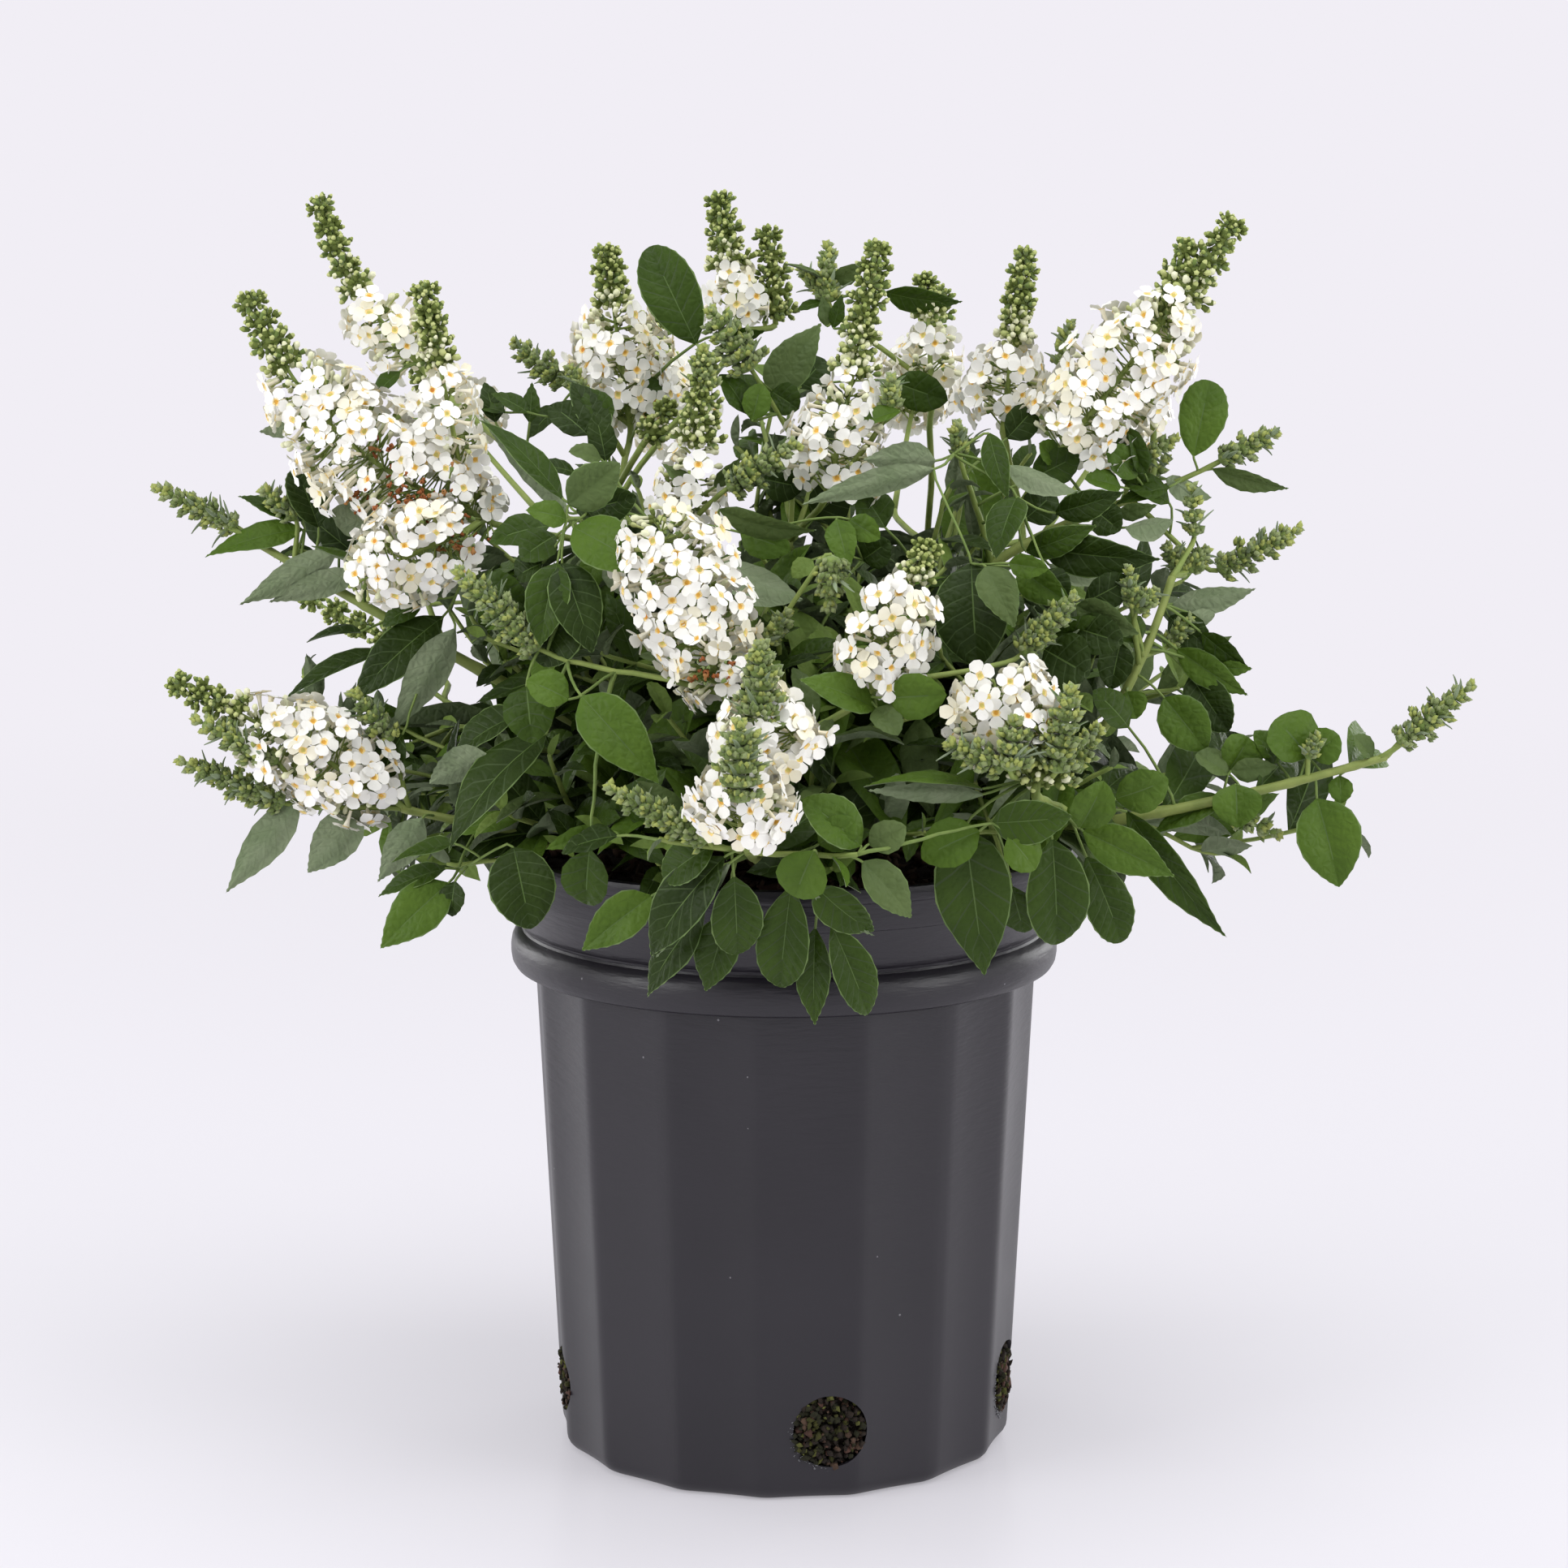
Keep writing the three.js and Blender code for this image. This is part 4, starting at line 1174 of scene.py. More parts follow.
for name, row in spikes.items():
    addSpike(name, seen(*row[0]), seen(*row[1]), *row[2:])
for name, row in backSpikes.items():
    addSpike(name, np.array(row[0], float), np.array(row[1], float), *row[2:])
for row in withered:
    addWithered(*row)
for foot, tip, width in youngs:
    addYoung(seen(*foot), seen(*tip), width)
print("spikes")


# ---- leaves that show by themselves ----
# Each row: base and tip as pixel across, pixel down and depth; width; roll of the blade about
# its midrib, 0 with the upper side to the front and 180 with the underside; bend; tone of green;
# and how pointed its tip is, where that isn't left to its proportions.
showLeaves = [
    # left edge
    ((372, 652, 0), (250, 685, -6), 12, 20, 0.5, 2), ((414, 680, -20), (293, 746, -24), 11, 160, 0.4, 1),
    ((442, 706, -22), (330, 742, -20), 9, 150, 0.3, 1), ((392, 650, -4), (364, 576, 4), 15, 10, 0.4, 0, 0.6),
    ((472, 802, -30), (345, 863, -34), 12, 40, 0.5, 0), ((545, 760, -40), (430, 866, -50), 17, 10, 0.5, 0),
    ((444, 778, -26), (376, 790, -20), 9, 50, 0.4, 0), ((368, 985, -60), (276, 1102, -64), 13, 170, -0.5, 1),
    ((442, 998, -60), (378, 1076, -62), 15, 165, -0.3, 1),
    ((552, 1088, -90), (467, 1169, -96), 17, 0, 0.4, 2),
    ((548, 1070, -88), (464, 1104, -86), 10, 30, 0.4, 1),
    ((632, 1044, -104), (654, 1146, -114), 22, 0, 0.6, 0),
    ((672, 905, -90), (545, 1052, -104), 21, 30, 0.8, 0),
    ((520, 1008, -74), (464, 1088, -70), 12, 160, -0.3, 1),
    ((692, 614, -50), (590, 514, -40), 12, 35, 0.5, 1), ((560, 775, -50), (480, 905, -56), 14, 150, -0.2, 1),
    ((648, 846, -100), (655, 916, -112), 17, 0, 0.5, 1),
    ((700, 862, -112), (648, 838, -112), 14, 20, 0.3, 2), ((640, 880, -84), (560, 930, -80), 16, 40, 0.5, 0),
    ((560, 1040, -94), (480, 1062, -90), 10, 45, 0.4, 1),
    ((560, 1086, -92), (556, 1130, -94), 9, 20, 0.5, 0), ((700, 745, -88), (668, 822, -92), 22, 10, 0.5, 0),
    ((520, 740, -40), (470, 772, -42), 10, 20, 0.4, 1), ((372, 642, 2), (292, 610, 6), 9, 30, 0.4, 1),
    ((600, 930, -92), (528, 965, -90), 13, 140, 0.3, 1), ((495, 905, -60), (470, 960, -58), 12, 20, 0.5, 0),
    ((360, 528, -2), (318, 532, -4), 5, 165, 0.3, 1), ((470, 655, -22), (408, 628, -26), 12, 165, 0.3, 1),
    # inner left
    ((700, 632, -48), (588, 508, -38), 7, 170, 0.4, 1), ((746, 568, -20), (732, 506, -16), 10, 10, 0.4, 0),
    ((724, 536, -4), (676, 498, 2), 14, 10, 0.5, 0), ((742, 528, 4), (726, 480, 8), 12, 10, 0.4, 1),
    ((740, 566, -24), (700, 556, -28), 8, 20, 0.4, 3), ((650, 508, -4), (604, 484, -2), 7, 20, 0.4, 1),
    ((622, 508, 0), (584, 500, 2), 6, 30, 0.3, 1), ((652, 520, -2), (655, 470, 2), 6, 10, 0.3, 1),
    ((790, 514, 22), (806, 464, 26), 12, 10, 0.4, 1), ((710, 630, -60), (784, 612, -66), 14, 30, 0.4, 0),
    ((698, 640, -86), (647, 628, -90), 10, 20, 0.4, 2, 1.1),
    ((676, 648, -70), (602, 668, -74), 12, 20, 0.5, 1), ((684, 660, -80), (640, 690, -84), 14, 10, 0.5, 1),
    ((668, 694, -84), (634, 712, -84), 12, 20, 0.4, 0), ((590, 716, -80), (652, 748, -86), 14, 20, 0.4, 1),
    ((736, 684, -80), (722, 728, -84), 9, 10, 0.4, 2), ((748, 690, -84), (772, 736, -88), 8, 160, 0.3, 1),
    ((708, 582, -30), (668, 574, -34), 8, 30, 0.3, 0),
    # top
    ((857, 424, 12), (799, 303, 22), 20, -4, 0.3, 1, 0.6), ((946, 486, 10), (1012, 397, 18), 15, 10, 0.3, 3),
    ((1014, 372, 60), (982, 382, 58), 6, 40, 0.3, 1), ((1018, 402, 58), (1012, 364, 58), 5, 10, 0.3, 3),
    ((1026, 404, 58), (1037, 362, 58), 5, 10, 0.3, 1), ((984, 478, 30), (1016, 442, 34), 14, 10, 0.4, 0),
    ((942, 502, 10), (888, 468, 14), 14, 20, 0.4, 1), ((926, 518, -6), (937, 472, -2), 10, 10, 0.4, 2),
    ((950, 482, 8), (984, 504, 4), 12, 20, 0.4, 1), ((1108, 506, -20), (1046, 530, -24), 8, 30, 0.4, 2),
    ((862, 620, -34), (815, 570, -40), 8, 20, 0.3, 3), ((880, 600, -34), (914, 562, -38), 5, 30, 0.3, 3),
    ((1062, 690, -50), (1096, 666, -54), 12, 20, 0.4, 0), ((912, 656, -60), (974, 678, -66), 12, 20, 0.4, 2),
    ((1000, 690, -70), (976, 712, -74), 7, 10, 0.4, 4),
    ((1152, 568, -30), (1062, 566, -34), 12, 150, 0.3, 1), ((980, 560, 10), (1020, 520, 14), 14, 20, 0.4, 0),
    ((1000, 640, -10), (1040, 600, -6), 15, 20, 0.4, 0), ((940, 590, 0), (990, 600, -4), 13, 30, 0.4, 0),
    ((1090, 650, -20), (1060, 606, -16), 14, 10, 0.4, 1), ((1090, 360, 62), (1187, 373, 66), 11, 58, 0.5, 1),
    ((1016, 346, 62), (966, 324, 58), 8, 60, 0.4, 3), ((1024, 346, 62), (1066, 324, 60), 8, 60, 0.4, 3),
    ((880, 414, 20), (944, 408, 20), 8, 55, 0.5, 1), ((1100, 470, 30), (1168, 494, 26), 14, 30, 0.5, 1),
    ((742, 540, 0), (704, 470, 10), 14, 20, 0.4, 0), ((690, 500, 36), (650, 540, 30), 9, 30, 0.5, 0),
    ((492, 458, 40), (462, 488, 36), 9, 30, 0.4, 1), ((610, 520, 0), (596, 470, 6), 8, 20, 0.3, 0),
    ((920, 510, -4), (886, 460, 0), 12, 25, 0.5, 1),
    # middle
    ((706, 650, -88), (796, 702, -104), 18, 0, 0.5, 2),
    ((700, 622, -84), (764, 570, -84), 15, 20, 0.4, 3, 1.0),
    ((686, 694, -92), (664, 797, -100), 15, 10, 0.5, 1), ((692, 694, -92), (730, 806, -102), 17, -5, 0.5, 0),
    ((716, 858, -118), (812, 966, -130), 19, 5, 0.4, 2), ((886, 628, -60), (1006, 656, -72), 12, 66, 0.6, 3),
    ((884, 690, -70), (990, 742, -80), 17, 150, 0.5, 3), ((1150, 578, -50), (984, 622, -60), 9, 150, 0.5, 3),
    ((1078, 872, -118), (984, 836, -124), 14, 25, 0.4, 2),
    ((1196, 694, -70), (1204, 822, -84), 27, 10, 0.4, 0),
    ((1214, 698, -80), (1250, 774, -92), 13, 0, 0.5, 3),
    ((1094, 860, -122), (1166, 856, -128), 15, 15, 0.4, 2),
    ((1252, 612, -40), (1226, 688, -56), 14, 20, 0.5, 1),
    ((1218, 534, -28), (1242, 617, -40), 9, 20, 0.5, 1),
    ((1240, 574, -24), (1333, 609, -36), 10, 165, 0.7, 3),
    ((1210, 972, -130), (1062, 966, -136), 13, 55, 0.5, 2),
    ((1210, 979, -131), (1066, 974, -137), 6, 165, 0.5, 1),
    ((1080, 872, -120), (1106, 906, -130), 10, 0, 0.4, 3),
    ((1060, 1042, -150), (988, 984, -150), 17, 15, 0.4, 2),
    ((1070, 1040, -150), (1116, 1018, -150), 11, 20, 0.4, 3),
    ((1254, 700, -74), (1320, 744, -84), 13, 30, 0.5, 2),
    ((1282, 676, -40), (1432, 690, -50), 15, 35, 0.5, 0),
    ((1030, 640, -66), (1046, 700, -76), 10, 10, 0.4, 2),
    ((1046, 640, -66), (1084, 664, -70), 9, 20, 0.4, 2),
    # inner right
    ((1264, 680, -44), (1352, 647, -50), 10, 30, 0.4, 1),
    ((1300, 632, -30), (1386, 606, -36), 11, 30, 0.4, 0), ((1400, 588, -4), (1364, 550, -8), 11, 10, 0.4, 2),
    ((1410, 584, -2), (1390, 534, -6), 8, 20, 0.4, 1), ((1380, 600, -8), (1336, 590, -14), 10, 20, 0.4, 2),
    ((1300, 568, -4), (1280, 546, -8), 9, 10, 0.4, 2), ((1350, 630, -20), (1380, 654, -26), 12, 20, 0.4, 0),
    ((1376, 634, -16), (1426, 622, -20), 6, 40, 0.3, 3),
    ((1386, 650, -24), (1446, 642, -28), 15, 140, 0.5, 1),
    ((1292, 696, -40), (1386, 718, -44), 11, 150, 0.4, 0),
    ((1336, 742, -60), (1392, 712, -58), 12, 30, 0.4, 0),
    ((1326, 746, -66), (1404, 782, -72), 12, 30, 0.5, 3),
    ((1320, 772, -70), (1384, 792, -76), 14, 20, 0.4, 0),
    ((1296, 790, -70), (1330, 776, -74), 6, 120, 0.3, 4),
    ((1286, 800, -80), (1342, 832, -84), 20, 20, 0.4, 0),
    ((1243, 694, -84), (1292, 701, -90), 8, 30, 0.5, 2), ((1290, 702, -60), (1316, 736, -66), 9, 20, 0.4, 0),
    ((1270, 590, -6), (1330, 560, -4), 13, 20, 0.4, 1), ((1262, 640, -20), (1300, 606, -16), 14, 20, 0.4, 0),
    ((1240, 540, 0), (1276, 500, 6), 12, 20, 0.4, 0),
    # skirt over the rim
    ((802, 1104, -128), (715, 1172, -126), 15, 0, 0.4, 2),
    ((892, 1056, -150), (796, 1182, -136), 19, 16, 0.7, 0),
    ((898, 1064, -151), (806, 1182, -137), 4, 170, 0.7, 1),
    ((868, 1120, -134), (794, 1230, -122), 16, 24, 0.5, 0),
    ((904, 1080, -150), (908, 1178, -136), 17, -4, 0.4, 1, 0.75),
    ((896, 1128, -134), (868, 1223, -124), 15, 0, 0.3, 1),
    ((974, 1092, -142), (960, 1219, -128), 18, 4, 0.4, 1, 0.8),
    ((1004, 1144, -132), (1003, 1266, -120), 12, 14, 0.4, 1),
    ((1024, 1140, -136), (1070, 1252, -124), 15, -6, 0.4, 1, 0.85),
    ((1002, 1048, -158), (978, 1106, -152), 17, 0, 0.4, 2),
    ((1062, 1062, -152), (1124, 1132, -146), 13, -10, 0.5, 3),
    ((1004, 1092, -146), (1078, 1150, -136), 14, 40, 0.6, 1),
    ((1002, 1100, -147), (1076, 1154, -137), 4, 170, 0.6, 1),
    ((1188, 1020, -130), (1213, 1206, -118), 25, 4, 0.4, 1),
    ((1296, 1034, -120), (1302, 1166, -110), 22, -4, 0.4, 1, 0.75),
    ((1338, 1056, -98), (1382, 1163, -96), 16, -10, 0.5, 1, 0.6),
    ((1388, 1000, -80), (1512, 1159, -88), 13, 30, 0.6, 1),
    ((1334, 1024, -104), (1449, 1081, -106), 15, 10, 0.4, 2),
    ((1206, 1024, -136), (1134, 1058, -138), 16, 5, 0.4, 2),
    ((1222, 1014, -138), (1322, 1006, -138), 15, 25, 0.5, 1),
    ((1242, 1030, -140), (1276, 1072, -140), 13, 0, 0.4, 2),
    ((1330, 1020, -112), (1360, 962, -116), 15, 20, 0.5, 2),
    ((726, 1046, -118), (722, 1116, -112), 17, 10, 0.5, 1),
    ((760, 1030, -130), (690, 1050, -126), 14, 40, 0.4, 0),
    ((1008, 1040, -150), (1054, 1010, -150), 12, 30, 0.4, 2),
    ((880, 1040, -150), (816, 1084, -144), 15, 20, 0.4, 1),
    ((1246, 1092, -116), (1262, 1150, -108), 13, 20, 0.3, 1),
    # right edge
    ((1470, 562, 6), (1490, 468, 14), 17, 0, 0.3, 2, 0.55), ((1494, 578, 10), (1588, 603, 6), 8, 50, 0.4, 3),
    ((1622, 984, -64), (1650, 1094, -70), 23, 0, 0.4, 2, 1.0),
    ((1612, 934, -60), (1570, 886, -58), 22, 15, 0.4, 2, 0.6),
    ((1522, 966, -66), (1524, 1020, -72), 17, 0, 0.4, 2),
    ((1506, 982, -62), (1418, 1028, -64), 11, 20, 0.4, 2),
    ((1450, 800, -40), (1538, 858, -46), 11, 30, 0.5, 2),
    ((1444, 744, -24), (1548, 726, -30), 11, 165, 0.4, 3),
    ((1466, 832, -40), (1514, 902, -46), 16, 20, 0.5, 0), ((1440, 620, 0), (1380, 590, 0), 14, 30, 0.5, 1),
    ((1388, 852, -54), (1400, 886, -58), 11, 10, 0.4, 2),
    ((1514, 948, -60), (1538, 908, -58), 16, 25, 0.4, 2, 0.6),
    ((1380, 792, -50), (1368, 850, -56), 12, 10, 0.5, 0),
    ((1434, 860, -50), (1486, 925, -58), 17, 10, 0.4, 2, 0.8),
    ((1650, 956, -60), (1652, 990, -64), 8, 0, 0.3, 2), ((1690, 934, -60), (1668, 906, -60), 8, 30, 0.3, 3),
    ((1480, 780, -36), (1540, 826, -40), 9, 40, 0.4, 1),
    ((1390, 896, -60), (1346, 850, -60), 13, 20, 0.4, 1),
    ((1440, 760, -30), (1490, 798, -36), 12, 20, 0.4, 0),
    ((1466, 756, -30), (1496, 760, -34), 9, 160, 0.3, 1),
    ((1404, 792, -50), (1376, 762, -46), 12, 20, 0.4, 1), ((1436, 590, 4), (1492, 614, 8), 10, 165, 0.4, 1),
    ((1376, 528, 0), (1412, 582, -6), 12, 20, 0.4, 1), ((1440, 600, 0), (1372, 622, -4), 8, 20, 0.4, 1),
    ((1300, 782, -70), (1376, 770, -72), 12, 30, 0.4, 1),
    ((1514, 954, -62), (1472, 930, -62), 11, 30, 0.3, 3),
    ((1374, 984, -90), (1440, 960, -90), 15, 30, 0.5, 2),
    ((1612, 930, -62), (1650, 906, -62), 13, 20, 0.4, 2),
    ((1516, 950, -62), (1574, 944, -62), 8, 30, 0.3, 3),
    ((1574, 940, -56), (1545, 900, -54), 11, 30, 0.3, 2),
    ((1500, 822, -40), (1543, 824, -40), 5, 30, 0.3, 2),
    ((1490, 992, -63), (1420, 1031, -65), 4, 170, 0.4, 1),
]


def turnAbout(vector, axis, angle):
    return (vector * math.cos(angle) + np.cross(axis, vector) * math.sin(angle)
            + axis * np.dot(axis, vector) * (1 - math.cos(angle)))


showLook = {"stalk": 0.45, "thicken": 0.008, "fine": 22, "clear": 0.36,
            "front": np.array([0, -0.9, 0.42])}


def addShowLeaves():
    for foot, tip, width, roll, bend, tone, *taper in showLeaves:
        base, end = seen(*foot), seen(*tip)
        heading = unit(end - base)
        toFront = showLook["front"]
        toFront = unit(toFront - heading * heading.dot(toFront))
        upper = turnAbout(toFront, heading, math.radians(roll))
        growTwig(base, heading, showLook["stalk"], showLook["thicken"])
        length = np.linalg.norm(end - base)
        slim = np.clip(0.78 + 0.8 * (length / width - 1.5), 0.78, 1.4) * rng.uniform(0.92, 1.08)
        addLeaf(base, heading, upper, length, width, tone, bend, rng.uniform(0.12, 0.32),
                rng.uniform(-0.2, 0.2), "fine" if length > showLook["fine"] else "plain",
                float(taper[0] if taper else slim))
        keepClear(base, end, width, showLook["clear"])


addShowLeaves()
print("show leaves")


# ---- loose foliage: shoots that grow from the limbs into each mass ----
# Leaves stay out of the pot's wall and the mix, and none at the front hangs lower than a pixel row.
shoots = {"spacing": 25.5, "internode": (11, 17), "leaf": (30, 54), "slim": (0.29, 0.43), "reach": 52,
          "pot": 109, "rim": 224, "mouth": 96, "mix": 214, "lowest": 1140, "hanging": 40, "behind": 6,
          "ball": 4.19, "fewest": 3, "smallest": 15, "onBoughs": (1, 46, 0.35), "onLeaders": (2, 34, 0.1),
          "thin": {"foliage_outer_left": 0.5, "foliage_trailing_right": 0.3, "foliage_outer_right": 0.6,
                   "foliage_low_right": 0.7, "foliage_upper_right": 0.8}}
# Patches of the view where the sky shows between the shoots: pixel across, pixel down, radius.
skyGaps = [(628, 562, 22), (672, 546, 18), (620, 455, 16), (772, 562, 16), (1428, 616, 18), (1335, 720, 13),
           (1360, 870, 16), (1426, 814, 12), (1410, 775, 16), (1395, 798, 12), (1504, 700, 12),
           (615, 862, 12), (500, 880, 14), (430, 590, 16), (1440, 880, 12), (1350, 945, 10),
           (560, 1000, 8), (1560, 840, 60), (1600, 760, 60), (1508, 640, 22), (1570, 690, 20),
           (300, 800, 60), (330, 720, 20), (460, 540, 12), (1705, 850, 60), (1740, 1010, 60),
           (1600, 1090, 30), (700, 1110, 30), (1420, 1190, 50), (345, 1040, 22), (430, 1050, 22),
           (345, 1008, 12), (1400, 920, 24), (1425, 936, 18), (1350, 1052, 12), (1404, 1086, 20),
           (1432, 1094, 16), (380, 1092, 45), (440, 1120, 38), (305, 1120, 40), (1432, 924, 30),
           (1404, 906, 26), (1420, 1060, 20)]
# Patches that are thick with leaves behind what stands in front: pixel across, pixel down, depth,
# spread and number of shoots.
thickets = [(960, 500, 40, 12, 5), (1040, 640, 20, 16, 9), (1080, 600, 40, 12, 5), (980, 600, 30, 16, 7),
            (1270, 660, 10, 14, 6), (1290, 600, 30, 16, 6), (1230, 560, 40, 12, 4), (610, 680, -10, 12, 4),
            (900, 560, 30, 16, 5), (720, 520, 30, 14, 4), (1340, 620, 20, 12, 4), (830, 480, 60, 12, 3)]


def inTheWay(points):
    across, down, _ = onView(points)
    if np.any((down > shoots["lowest"]) & (points[:, 1] < shoots["hanging"])):
        return True
    for x, y, radius in skyGaps:
        if np.any(np.hypot(across - x, down - y) < radius):
            return True
    for ax, ay, bx, by, radius, depth in clearings:
        nearer = points[:, 1] < depth + shoots["behind"]
        if not np.any(nearer):
            continue
        dx, dy = bx - ax, by - ay
        share = np.clip(((across - ax) * dx + (down - ay) * dy) / (dx * dx + dy * dy + 1e-6), 0, 1)
        if np.any(nearer & (np.hypot(across - ax - share * dx, down - ay - share * dy) < radius)):
            return True
    return False


def misplaced(points, margin=6):
    low, high = np.array(cadLow) / mm - margin, np.array(cadHigh) / mm + margin
    if np.any(points < low) or np.any(points > high):
        return True
    far, height = np.hypot(points[:, 0], points[:, 1]), points[:, 2]
    overMix = (far < shoots["mouth"]) & (height > shoots["mix"])
    return bool(np.any((far < shoots["pot"]) & (height < shoots["rim"]) & ~overMix))


def looseFits(base, heading, length, bend):
    droop = unit(heading - upwards * bend * 0.3)
    points = base + np.array([0.12, 0.4, 0.7, 1.0])[:, None] * length * mix(heading, droop, 0.6)
    return not (misplaced(points) or inTheWay(points))


# Opposite pairs of leaves down a shoot, each pair turned a quarter from the last.
# A shoot that isn't laid yet is laid up to its last leaf, if enough leaves fit.
def dressShoot(path, tone, size, bare, tipped=True, radii=None):
    steps = np.linalg.norm(np.diff(path, axis=0), axis=1)
    run = np.concatenate([[0], np.cumsum(steps)])
    length, turn, distance = run[-1], rng.uniform(0, math.pi), run[-1] - 1
    pair = 0 if tipped else 3
    tip = rng.uniform(0.95, 1.3)
    leaves, reach = [], 0
    while distance > length * bare:
        point = np.array([np.interp(distance, run, path[:, k]) for k in range(3)])
        index = min(int(np.searchsorted(run, distance)), len(path) - 1)
        way = unit(path[index] - path[max(index - 1, 0)])
        side, over = crosswise(way)
        out = side * math.cos(turn) + over * math.sin(turn)
        age = min(1, 0.28 + pair * 0.26)
        for sign in (1, -1):
            leafLength = size * age * rng.uniform(0.85, 1.15)
            width = leafLength * rng.uniform(*shoots["slim"])
            heading = unit(way + out * sign * mix(0.8, 2.0, age) - upwards * 0.25 * age
                           + rng.normal(0, 0.18, 3))
            upper = unit(way * 0.8 + upwards * 0.9 - out * sign * 0.3 + rng.normal(0, 0.2, 3))
            green = int(np.clip(tone + rng.integers(-1, 2), 0, tipTone)) if pair else tipTone
            bend = rng.uniform(0.1, 1.0)
            if looseFits(point, heading, leafLength, bend):
                leaves.append((point, heading, upper, leafLength, width, green, bend))
                reach = max(reach, index)
        turn += math.pi / 2 + rng.normal(0, 0.2)
        distance -= rng.uniform(*shoots["internode"]) * mix(0.45, 1.1, age)
        pair += 1
    if radii is not None:
        if len(leaves) < shoots["fewest"]:
            return
        layTwig(path[:reach + 1], radii[:reach + 1])
    for leaf in leaves:
        grade = "small" if leaf[3] < shoots["smallest"] else "plain"
        addLeaf(*leaf, rng.uniform(0.1, 0.5), rng.uniform(-0.5, 0.5), grade, tip)


# Places spread evenly through the ball that fills a mass's box.
def fillMass(centre, half, spacing):
    volume = shoots["ball"] * half[0] * half[1] * half[2]
    count = max(3, int(volume / spacing ** 3))
    index = np.arange(count) + 0.5
    level = 1 - 2 * index / count
    ring = np.sqrt(1 - level ** 2)
    angle = index * goldenTurn + rng.uniform(0, 6)
    depth = rng.uniform(0.12, 0.9, count) ** (1 / 3)
    ball = np.column_stack([ring * np.cos(angle), ring * np.sin(angle), level])
    return centre + ball * half * depth[:, None]


def addShoots():
    for path in boughPaths:
        dressShoot(path, *shoots["onBoughs"], False)
    for path in leaderPaths:
        dressShoot(path, *shoots["onLeaders"])
    ends = []
    for name in sorted(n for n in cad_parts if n.startswith("foliage_")):
        low, high = (np.array(corner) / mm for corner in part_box(name))
        spacing = shoots["spacing"] / shoots["thin"].get(name, 1) ** (1 / 3)
        ends.append(fillMass((low + high) / 2, (high - low) / 2, spacing))
    for across, down, depth, spread, count in thickets:
        ends.append(seen(across, down, depth) + rng.normal(0, spread, (count, 3)) * [1, 1, 0.8])
    ends = np.concatenate(ends)
    ends = ends[rng.permutation(len(ends))]
    for end in ends:
        if misplaced(end[None], 0):
            continue
        away = unit(end - crownFoot)
        heading = unit(away + upwards * 0.35 + rng.normal(0, 0.35, 3))
        path, radii = planTwig(end, heading, 0.8, 0.01, shoots["reach"])
        if inTheWay(path[2:]) or misplaced(path[2:]):
            continue
        dressShoot(path, int(rng.integers(0, 4)), rng.uniform(*shoots["leaf"]), 0.25, True, radii)
    print("shoots", len(ends))


addShoots()


# ---- colours and pieces ----
ringTint = 3
barkTints = paintSet(
    {"scale": 300, "grain": 900},
    ("oldBark", (132, 112, 84), (92, 74, 52), {"rough": 0.85, "depth": 0.5, "strength": 0.8}),
    ("turningBark", (132, 128, 82), (112, 96, 64), {"rough": 0.8, "grain": 1100, "depth": 0.3}),
    ("greenBark", (138, 150, 78), (112, 128, 60), {"scale": 160, "grain": 1600, "depth": 0.15}))
twigTints = paintSet(
    {"scale": 200, "depth": 0.12},
    ("greenTwig", (140, 155, 80), (108, 130, 58), {"scale": 160, "grain": 1800}),
    ("feltedTwig", (150, 166, 112), (120, 142, 84),
     {"rough": 0.75, "grain": 2200, "depth": 0.15, "sheen": 0.2}),
    ("leafStalk", (118, 138, 70), (88, 112, 50), {"rough": 0.7, "grain": 2000}))
leafTints = paintSet(
    {"scale": 55, "rough": 0.48, "gloss": 0.17, "relief": veinNet, "grain": 330, "depth": 0.35},
    ("leafDeep", (42, 60, 12), (29, 45, 8)),
    ("leafGreen", (55, 77, 17), (42, 62, 12)),
    ("leafBright", (79, 105, 32), (63, 89, 23)),
    ("leafGrey", (87, 105, 56), (70, 89, 44), {"gloss": 0.25, "rough": 0.58}),
    ("leafTip", (106, 128, 56), (86, 110, 44), {"gloss": 0.25, "rough": 0.6}),
    ("bractGreen", (112, 134, 88), (88, 112, 66), {"gloss": 0.25, "rough": 0.7}))
leafTints += paintSet(
    {"scale": 90},
    ("leafRib", (84, 108, 46), (62, 88, 32)),
    ("leafRim", (102, 124, 66), (66, 92, 38), {"scale": 120}),
    ("leafVein", (52, 72, 20), (40, 60, 14)))
underTints = paintSet(
    {"scale": 90, "rough": 0.85, "gloss": 0.2},
    ("leafFelt", (128, 140, 110), (104, 121, 86),
     {"relief": veinNet, "grain": 330, "depth": 0.4, "strength": 0.6}),
    ("bractFelt", (154, 168, 138), (128, 146, 110), {"grain": 1800, "depth": 0.2}),
    # A darker felt for the underside's vein strips: painted shade beside its raised veins.
    ("feltVeinShade", (118, 130, 100), (98, 114, 80)))
petalTints = paintSet(
    {"scale": 140, "rough": 0.55, "gloss": 0.25, "grain": 900, "depth": 0.15},
    ("petalFresh", (246, 245, 239), (238, 237, 228)),
    ("petalYoung", (244, 240, 220), (236, 231, 204)))
throatTints = paintSet(
    {"scale": 300},
    ("throatYoung", (226, 212, 124), (204, 196, 100)),
    ("throatOrange", (238, 190, 82), (228, 168, 58)),
    ("throatDeep", (230, 162, 64), (210, 134, 46)),
    ("throatRing", (247, 222, 150), (245, 208, 116)))
tubeTints = paintSet({"scale": 120}, ("flowerTube", (250, 245, 224), (246, 234, 200)))
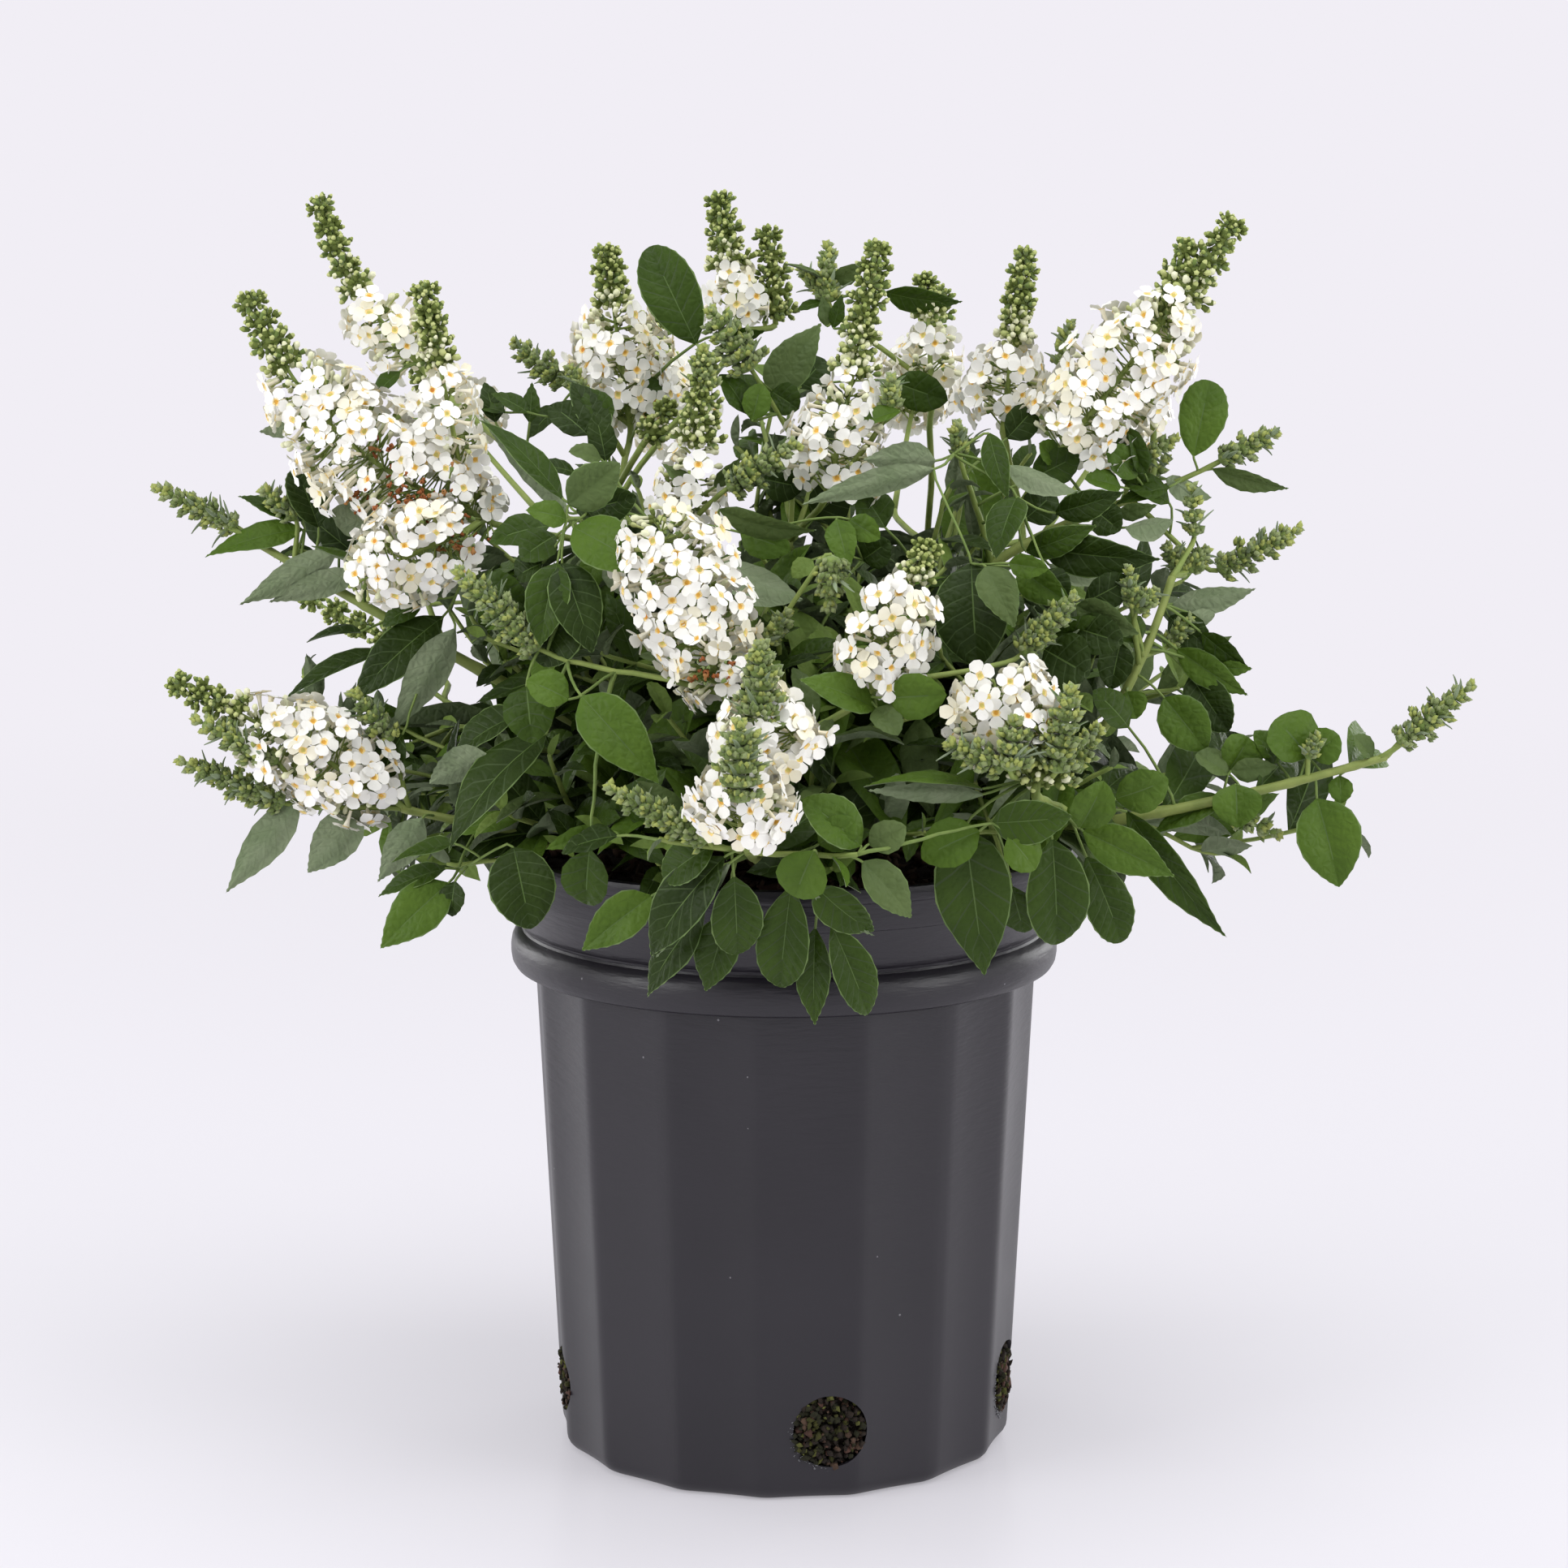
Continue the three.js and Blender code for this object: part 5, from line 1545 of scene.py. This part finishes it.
budTints = paintSet(
    {"scale": 220},
    ("budGreen", (154, 166, 90), (124, 142, 66)),
    ("budPale", (192, 198, 132), (166, 178, 104)),
    ("budCream", (232, 232, 200), (214, 218, 170)))
calyxTints = paintSet(
    {"scale": 220},
    ("calyxGreen", (112, 126, 58), (90, 106, 46), {"rough": 0.75}),
    ("calyxFelt", (124, 144, 74), (98, 122, 56), {"rough": 0.85, "sheen": 0.2}))
scaleTints = paintSet(
    {"scale": 260, "rough": 0.85, "grain": 2200, "sheen": 0.2},
    ("youngGreen", (114, 130, 72), (88, 108, 50)),
    ("youngFelt", (146, 158, 106), (118, 134, 80)),
    ("youngTip", (164, 172, 96), (138, 152, 74), {"sheen": 0}))
driedTints = paintSet(
    {"scale": 300, "rough": 0.9},
    ("driedRust", (158, 92, 46), (116, 62, 28)),
    ("driedTan", (176, 126, 74), (134, 86, 44)))


def pick(kind):
    return [np.concatenate(column) for column in zip(*small[kind])]


def stampAll(pile, kind, shape):
    places, ways, sizes, tints = pick(kind)
    stamp(pile, shape, places, ways, sizes, tints)


def makeFlowers():
    petals, throats, tubes = newPile(), newPile(), newPile()
    places, ways, sizes, ages = pick("floret")
    spins = rng.uniform(0, 2 * math.pi, len(places))
    forms = rng.choice(len(floretShapes), len(places), p=[share for _, _, share in floretForms])
    for form, shape in enumerate(floretShapes):
        some = forms == form
        creamy = (ages[some] == 0) & (rng.random(some.sum()) < 0.3)
        stamp(petals, shape, places[some], ways[some], sizes[some], creamy.astype(int), spins[some])
    stamp(throats, throatRing, places, ways, sizes, ringTint)
    stamp(throats, throatHollow, places, ways, sizes, ages)
    stamp(tubes, tubeShape, places, ways, sizes, 0)
    makePiece("petals", petals, petalTints,
              sorted(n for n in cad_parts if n.startswith("spike_")))
    makePiece("throats", throats, throatTints)
    makePiece("flower_tubes", tubes, tubeTints)
    print("florets", len(places))


def makeBuds():
    buds, calyces, youngPile, sticks, dried = (newPile() for _ in range(5))
    stampAll(buds, "bud", budShape)
    stampAll(buds, "ball", ballShape)
    stampAll(calyces, "calyx", calyxShape)
    stampAll(calyces, "core", coreShape)
    stampAll(youngPile, "scale", scaleShape)
    stampAll(sticks, "stick", stickShape)
    stampAll(dried, "dried", driedShape)
    makePiece("buds", buds, budTints)
    makePiece("calyces", calyces, calyxTints)
    makePiece("young_spikes", youngPile, scaleTints)
    makePiece("flower_stalks", sticks, twigTints)
    makePiece("spent_florets", dried, driedTints)


masses = sorted(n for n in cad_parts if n.startswith("foliage_"))
frontMasses = [n for n in masses if "back" not in n]
backMasses = [n for n in masses if "back" in n]
makePiece("limbs", stemPile, barkTints, ["crown_stem", *boughs])
makePiece("twigs", twigPile, twigTints)
makePiece("leaves_front", leafTops["front"], leafTints, frontMasses)
makePiece("leaves_back", leafTops["back"], leafTints, backMasses)
makePiece("undersides_front", leafUnders["front"], underTints)
makePiece("undersides_back", leafUnders["back"], underTints)
makeFlowers()
makeBuds()
print("pieces")


# ---- studio ----
# fade is where the floor turns into the backdrop, in metres, and glow keeps its shadows pale.
studio = {"floor": 9000, "floorColour": colour(232, 230, 236), "backdrop": colour(241, 238, 245),
          "roomColour": (0.97, 0.97, 1, 1), "skyLight": 0.66, "fade": (0.2, 1.8), "glow": 0.35,
          "aim": 250.0}
lamps = [  # name, place, size, watts; each is aimed at the bush's middle
    ("leftSoftbox", (-1500, -800, 800), 900, 12),
    ("rightSoftbox", (1500, -700, 750), 900, 10),
    ("overhead", (150, -400, 1900), 1400, 14),
    ("leftRear", (-1300, 1000, 450), 700, 5),
    ("rightRear", (1200, 1200, 450), 700, 5.5),
]


# The floor fades into the backdrop's colour with its distance from the pot: it is mixed with a glow of that
# colour, painted light that keeps its shadows pale near the pot.
def paintFloor():
    material, tree, shader = newMaterial("paleFloor", Base_Color=studio["floorColour"],
                                         Roughness=0.3, Specular_IOR_Level=0.4)
    far = addNode(tree, "ShaderNodeEmission", Color=studio["backdrop"])
    where = addNode(tree, "ShaderNodeTexCoord")
    reach = addNode(tree, "ShaderNodeVectorMath")
    reach.operation = "LENGTH"
    fade = addNode(tree, "ShaderNodeMapRange", From_Min=studio["fade"][0],
                   From_Max=studio["fade"][1], To_Min=studio["glow"])
    fade.interpolation_type = "SMOOTHSTEP"
    blend = addNode(tree, "ShaderNodeMixShader")
    wire(tree, (where, "Object", reach, 0), (reach, "Value", fade, "Value"),
         (fade, "Result", blend, 0), (shader, 0, blend, 1), (far, 0, blend, 2),
         (blend, 0, tree.nodes["Material Output"], "Surface"))
    return material


# The room lights the bush softly, and the camera sees it as the plain backdrop.
def makeWorld():
    world = bpy.data.worlds.new("paleRoom")
    bpy.context.scene.world = world
    world.use_nodes = True
    tree = world.node_tree
    room = fill(tree.nodes["Background"], Color=studio["roomColour"], Strength=studio["skyLight"])
    backdrop = addNode(tree, "ShaderNodeBackground", Color=studio["backdrop"])
    ray = addNode(tree, "ShaderNodeLightPath")
    blend = addNode(tree, "ShaderNodeMixShader")
    wire(tree, (ray, "Is Camera Ray", blend, 0), (room, 0, blend, 1), (backdrop, 0, blend, 2),
         (blend, 0, tree.nodes["World Output"], "Surface"))


def makeStudio():
    scene = bpy.context.scene
    scene.view_settings.view_transform = "Standard"
    makeWorld()
    reach = studio["floor"] * mm
    mesh = bpy.data.meshes.new("floor")
    mesh.from_pydata([(-reach, -reach, 0), (reach, -reach, 0), (reach, reach, 0), (-reach, reach, 0)],
                     [], [(0, 1, 2, 3)])
    mesh.materials.append(paintFloor())
    floor = bpy.data.objects.new("floor", mesh)
    scene.collection.objects.link(floor)
    for name, spot, size, watts in lamps:
        light = bpy.data.lights.new(name, "AREA")
        light.energy = watts
        light.size = size * mm
        lamp = bpy.data.objects.new(name, light)
        lamp.location = np.array(spot) * mm
        way = unit(upwards * studio["aim"] - np.array(spot, float))
        lamp.rotation_euler = (math.acos(-way[2]), 0, math.atan2(way[1], way[0]) - math.pi / 2)
        scene.collection.objects.link(lamp)


makeStudio()
print("studio")
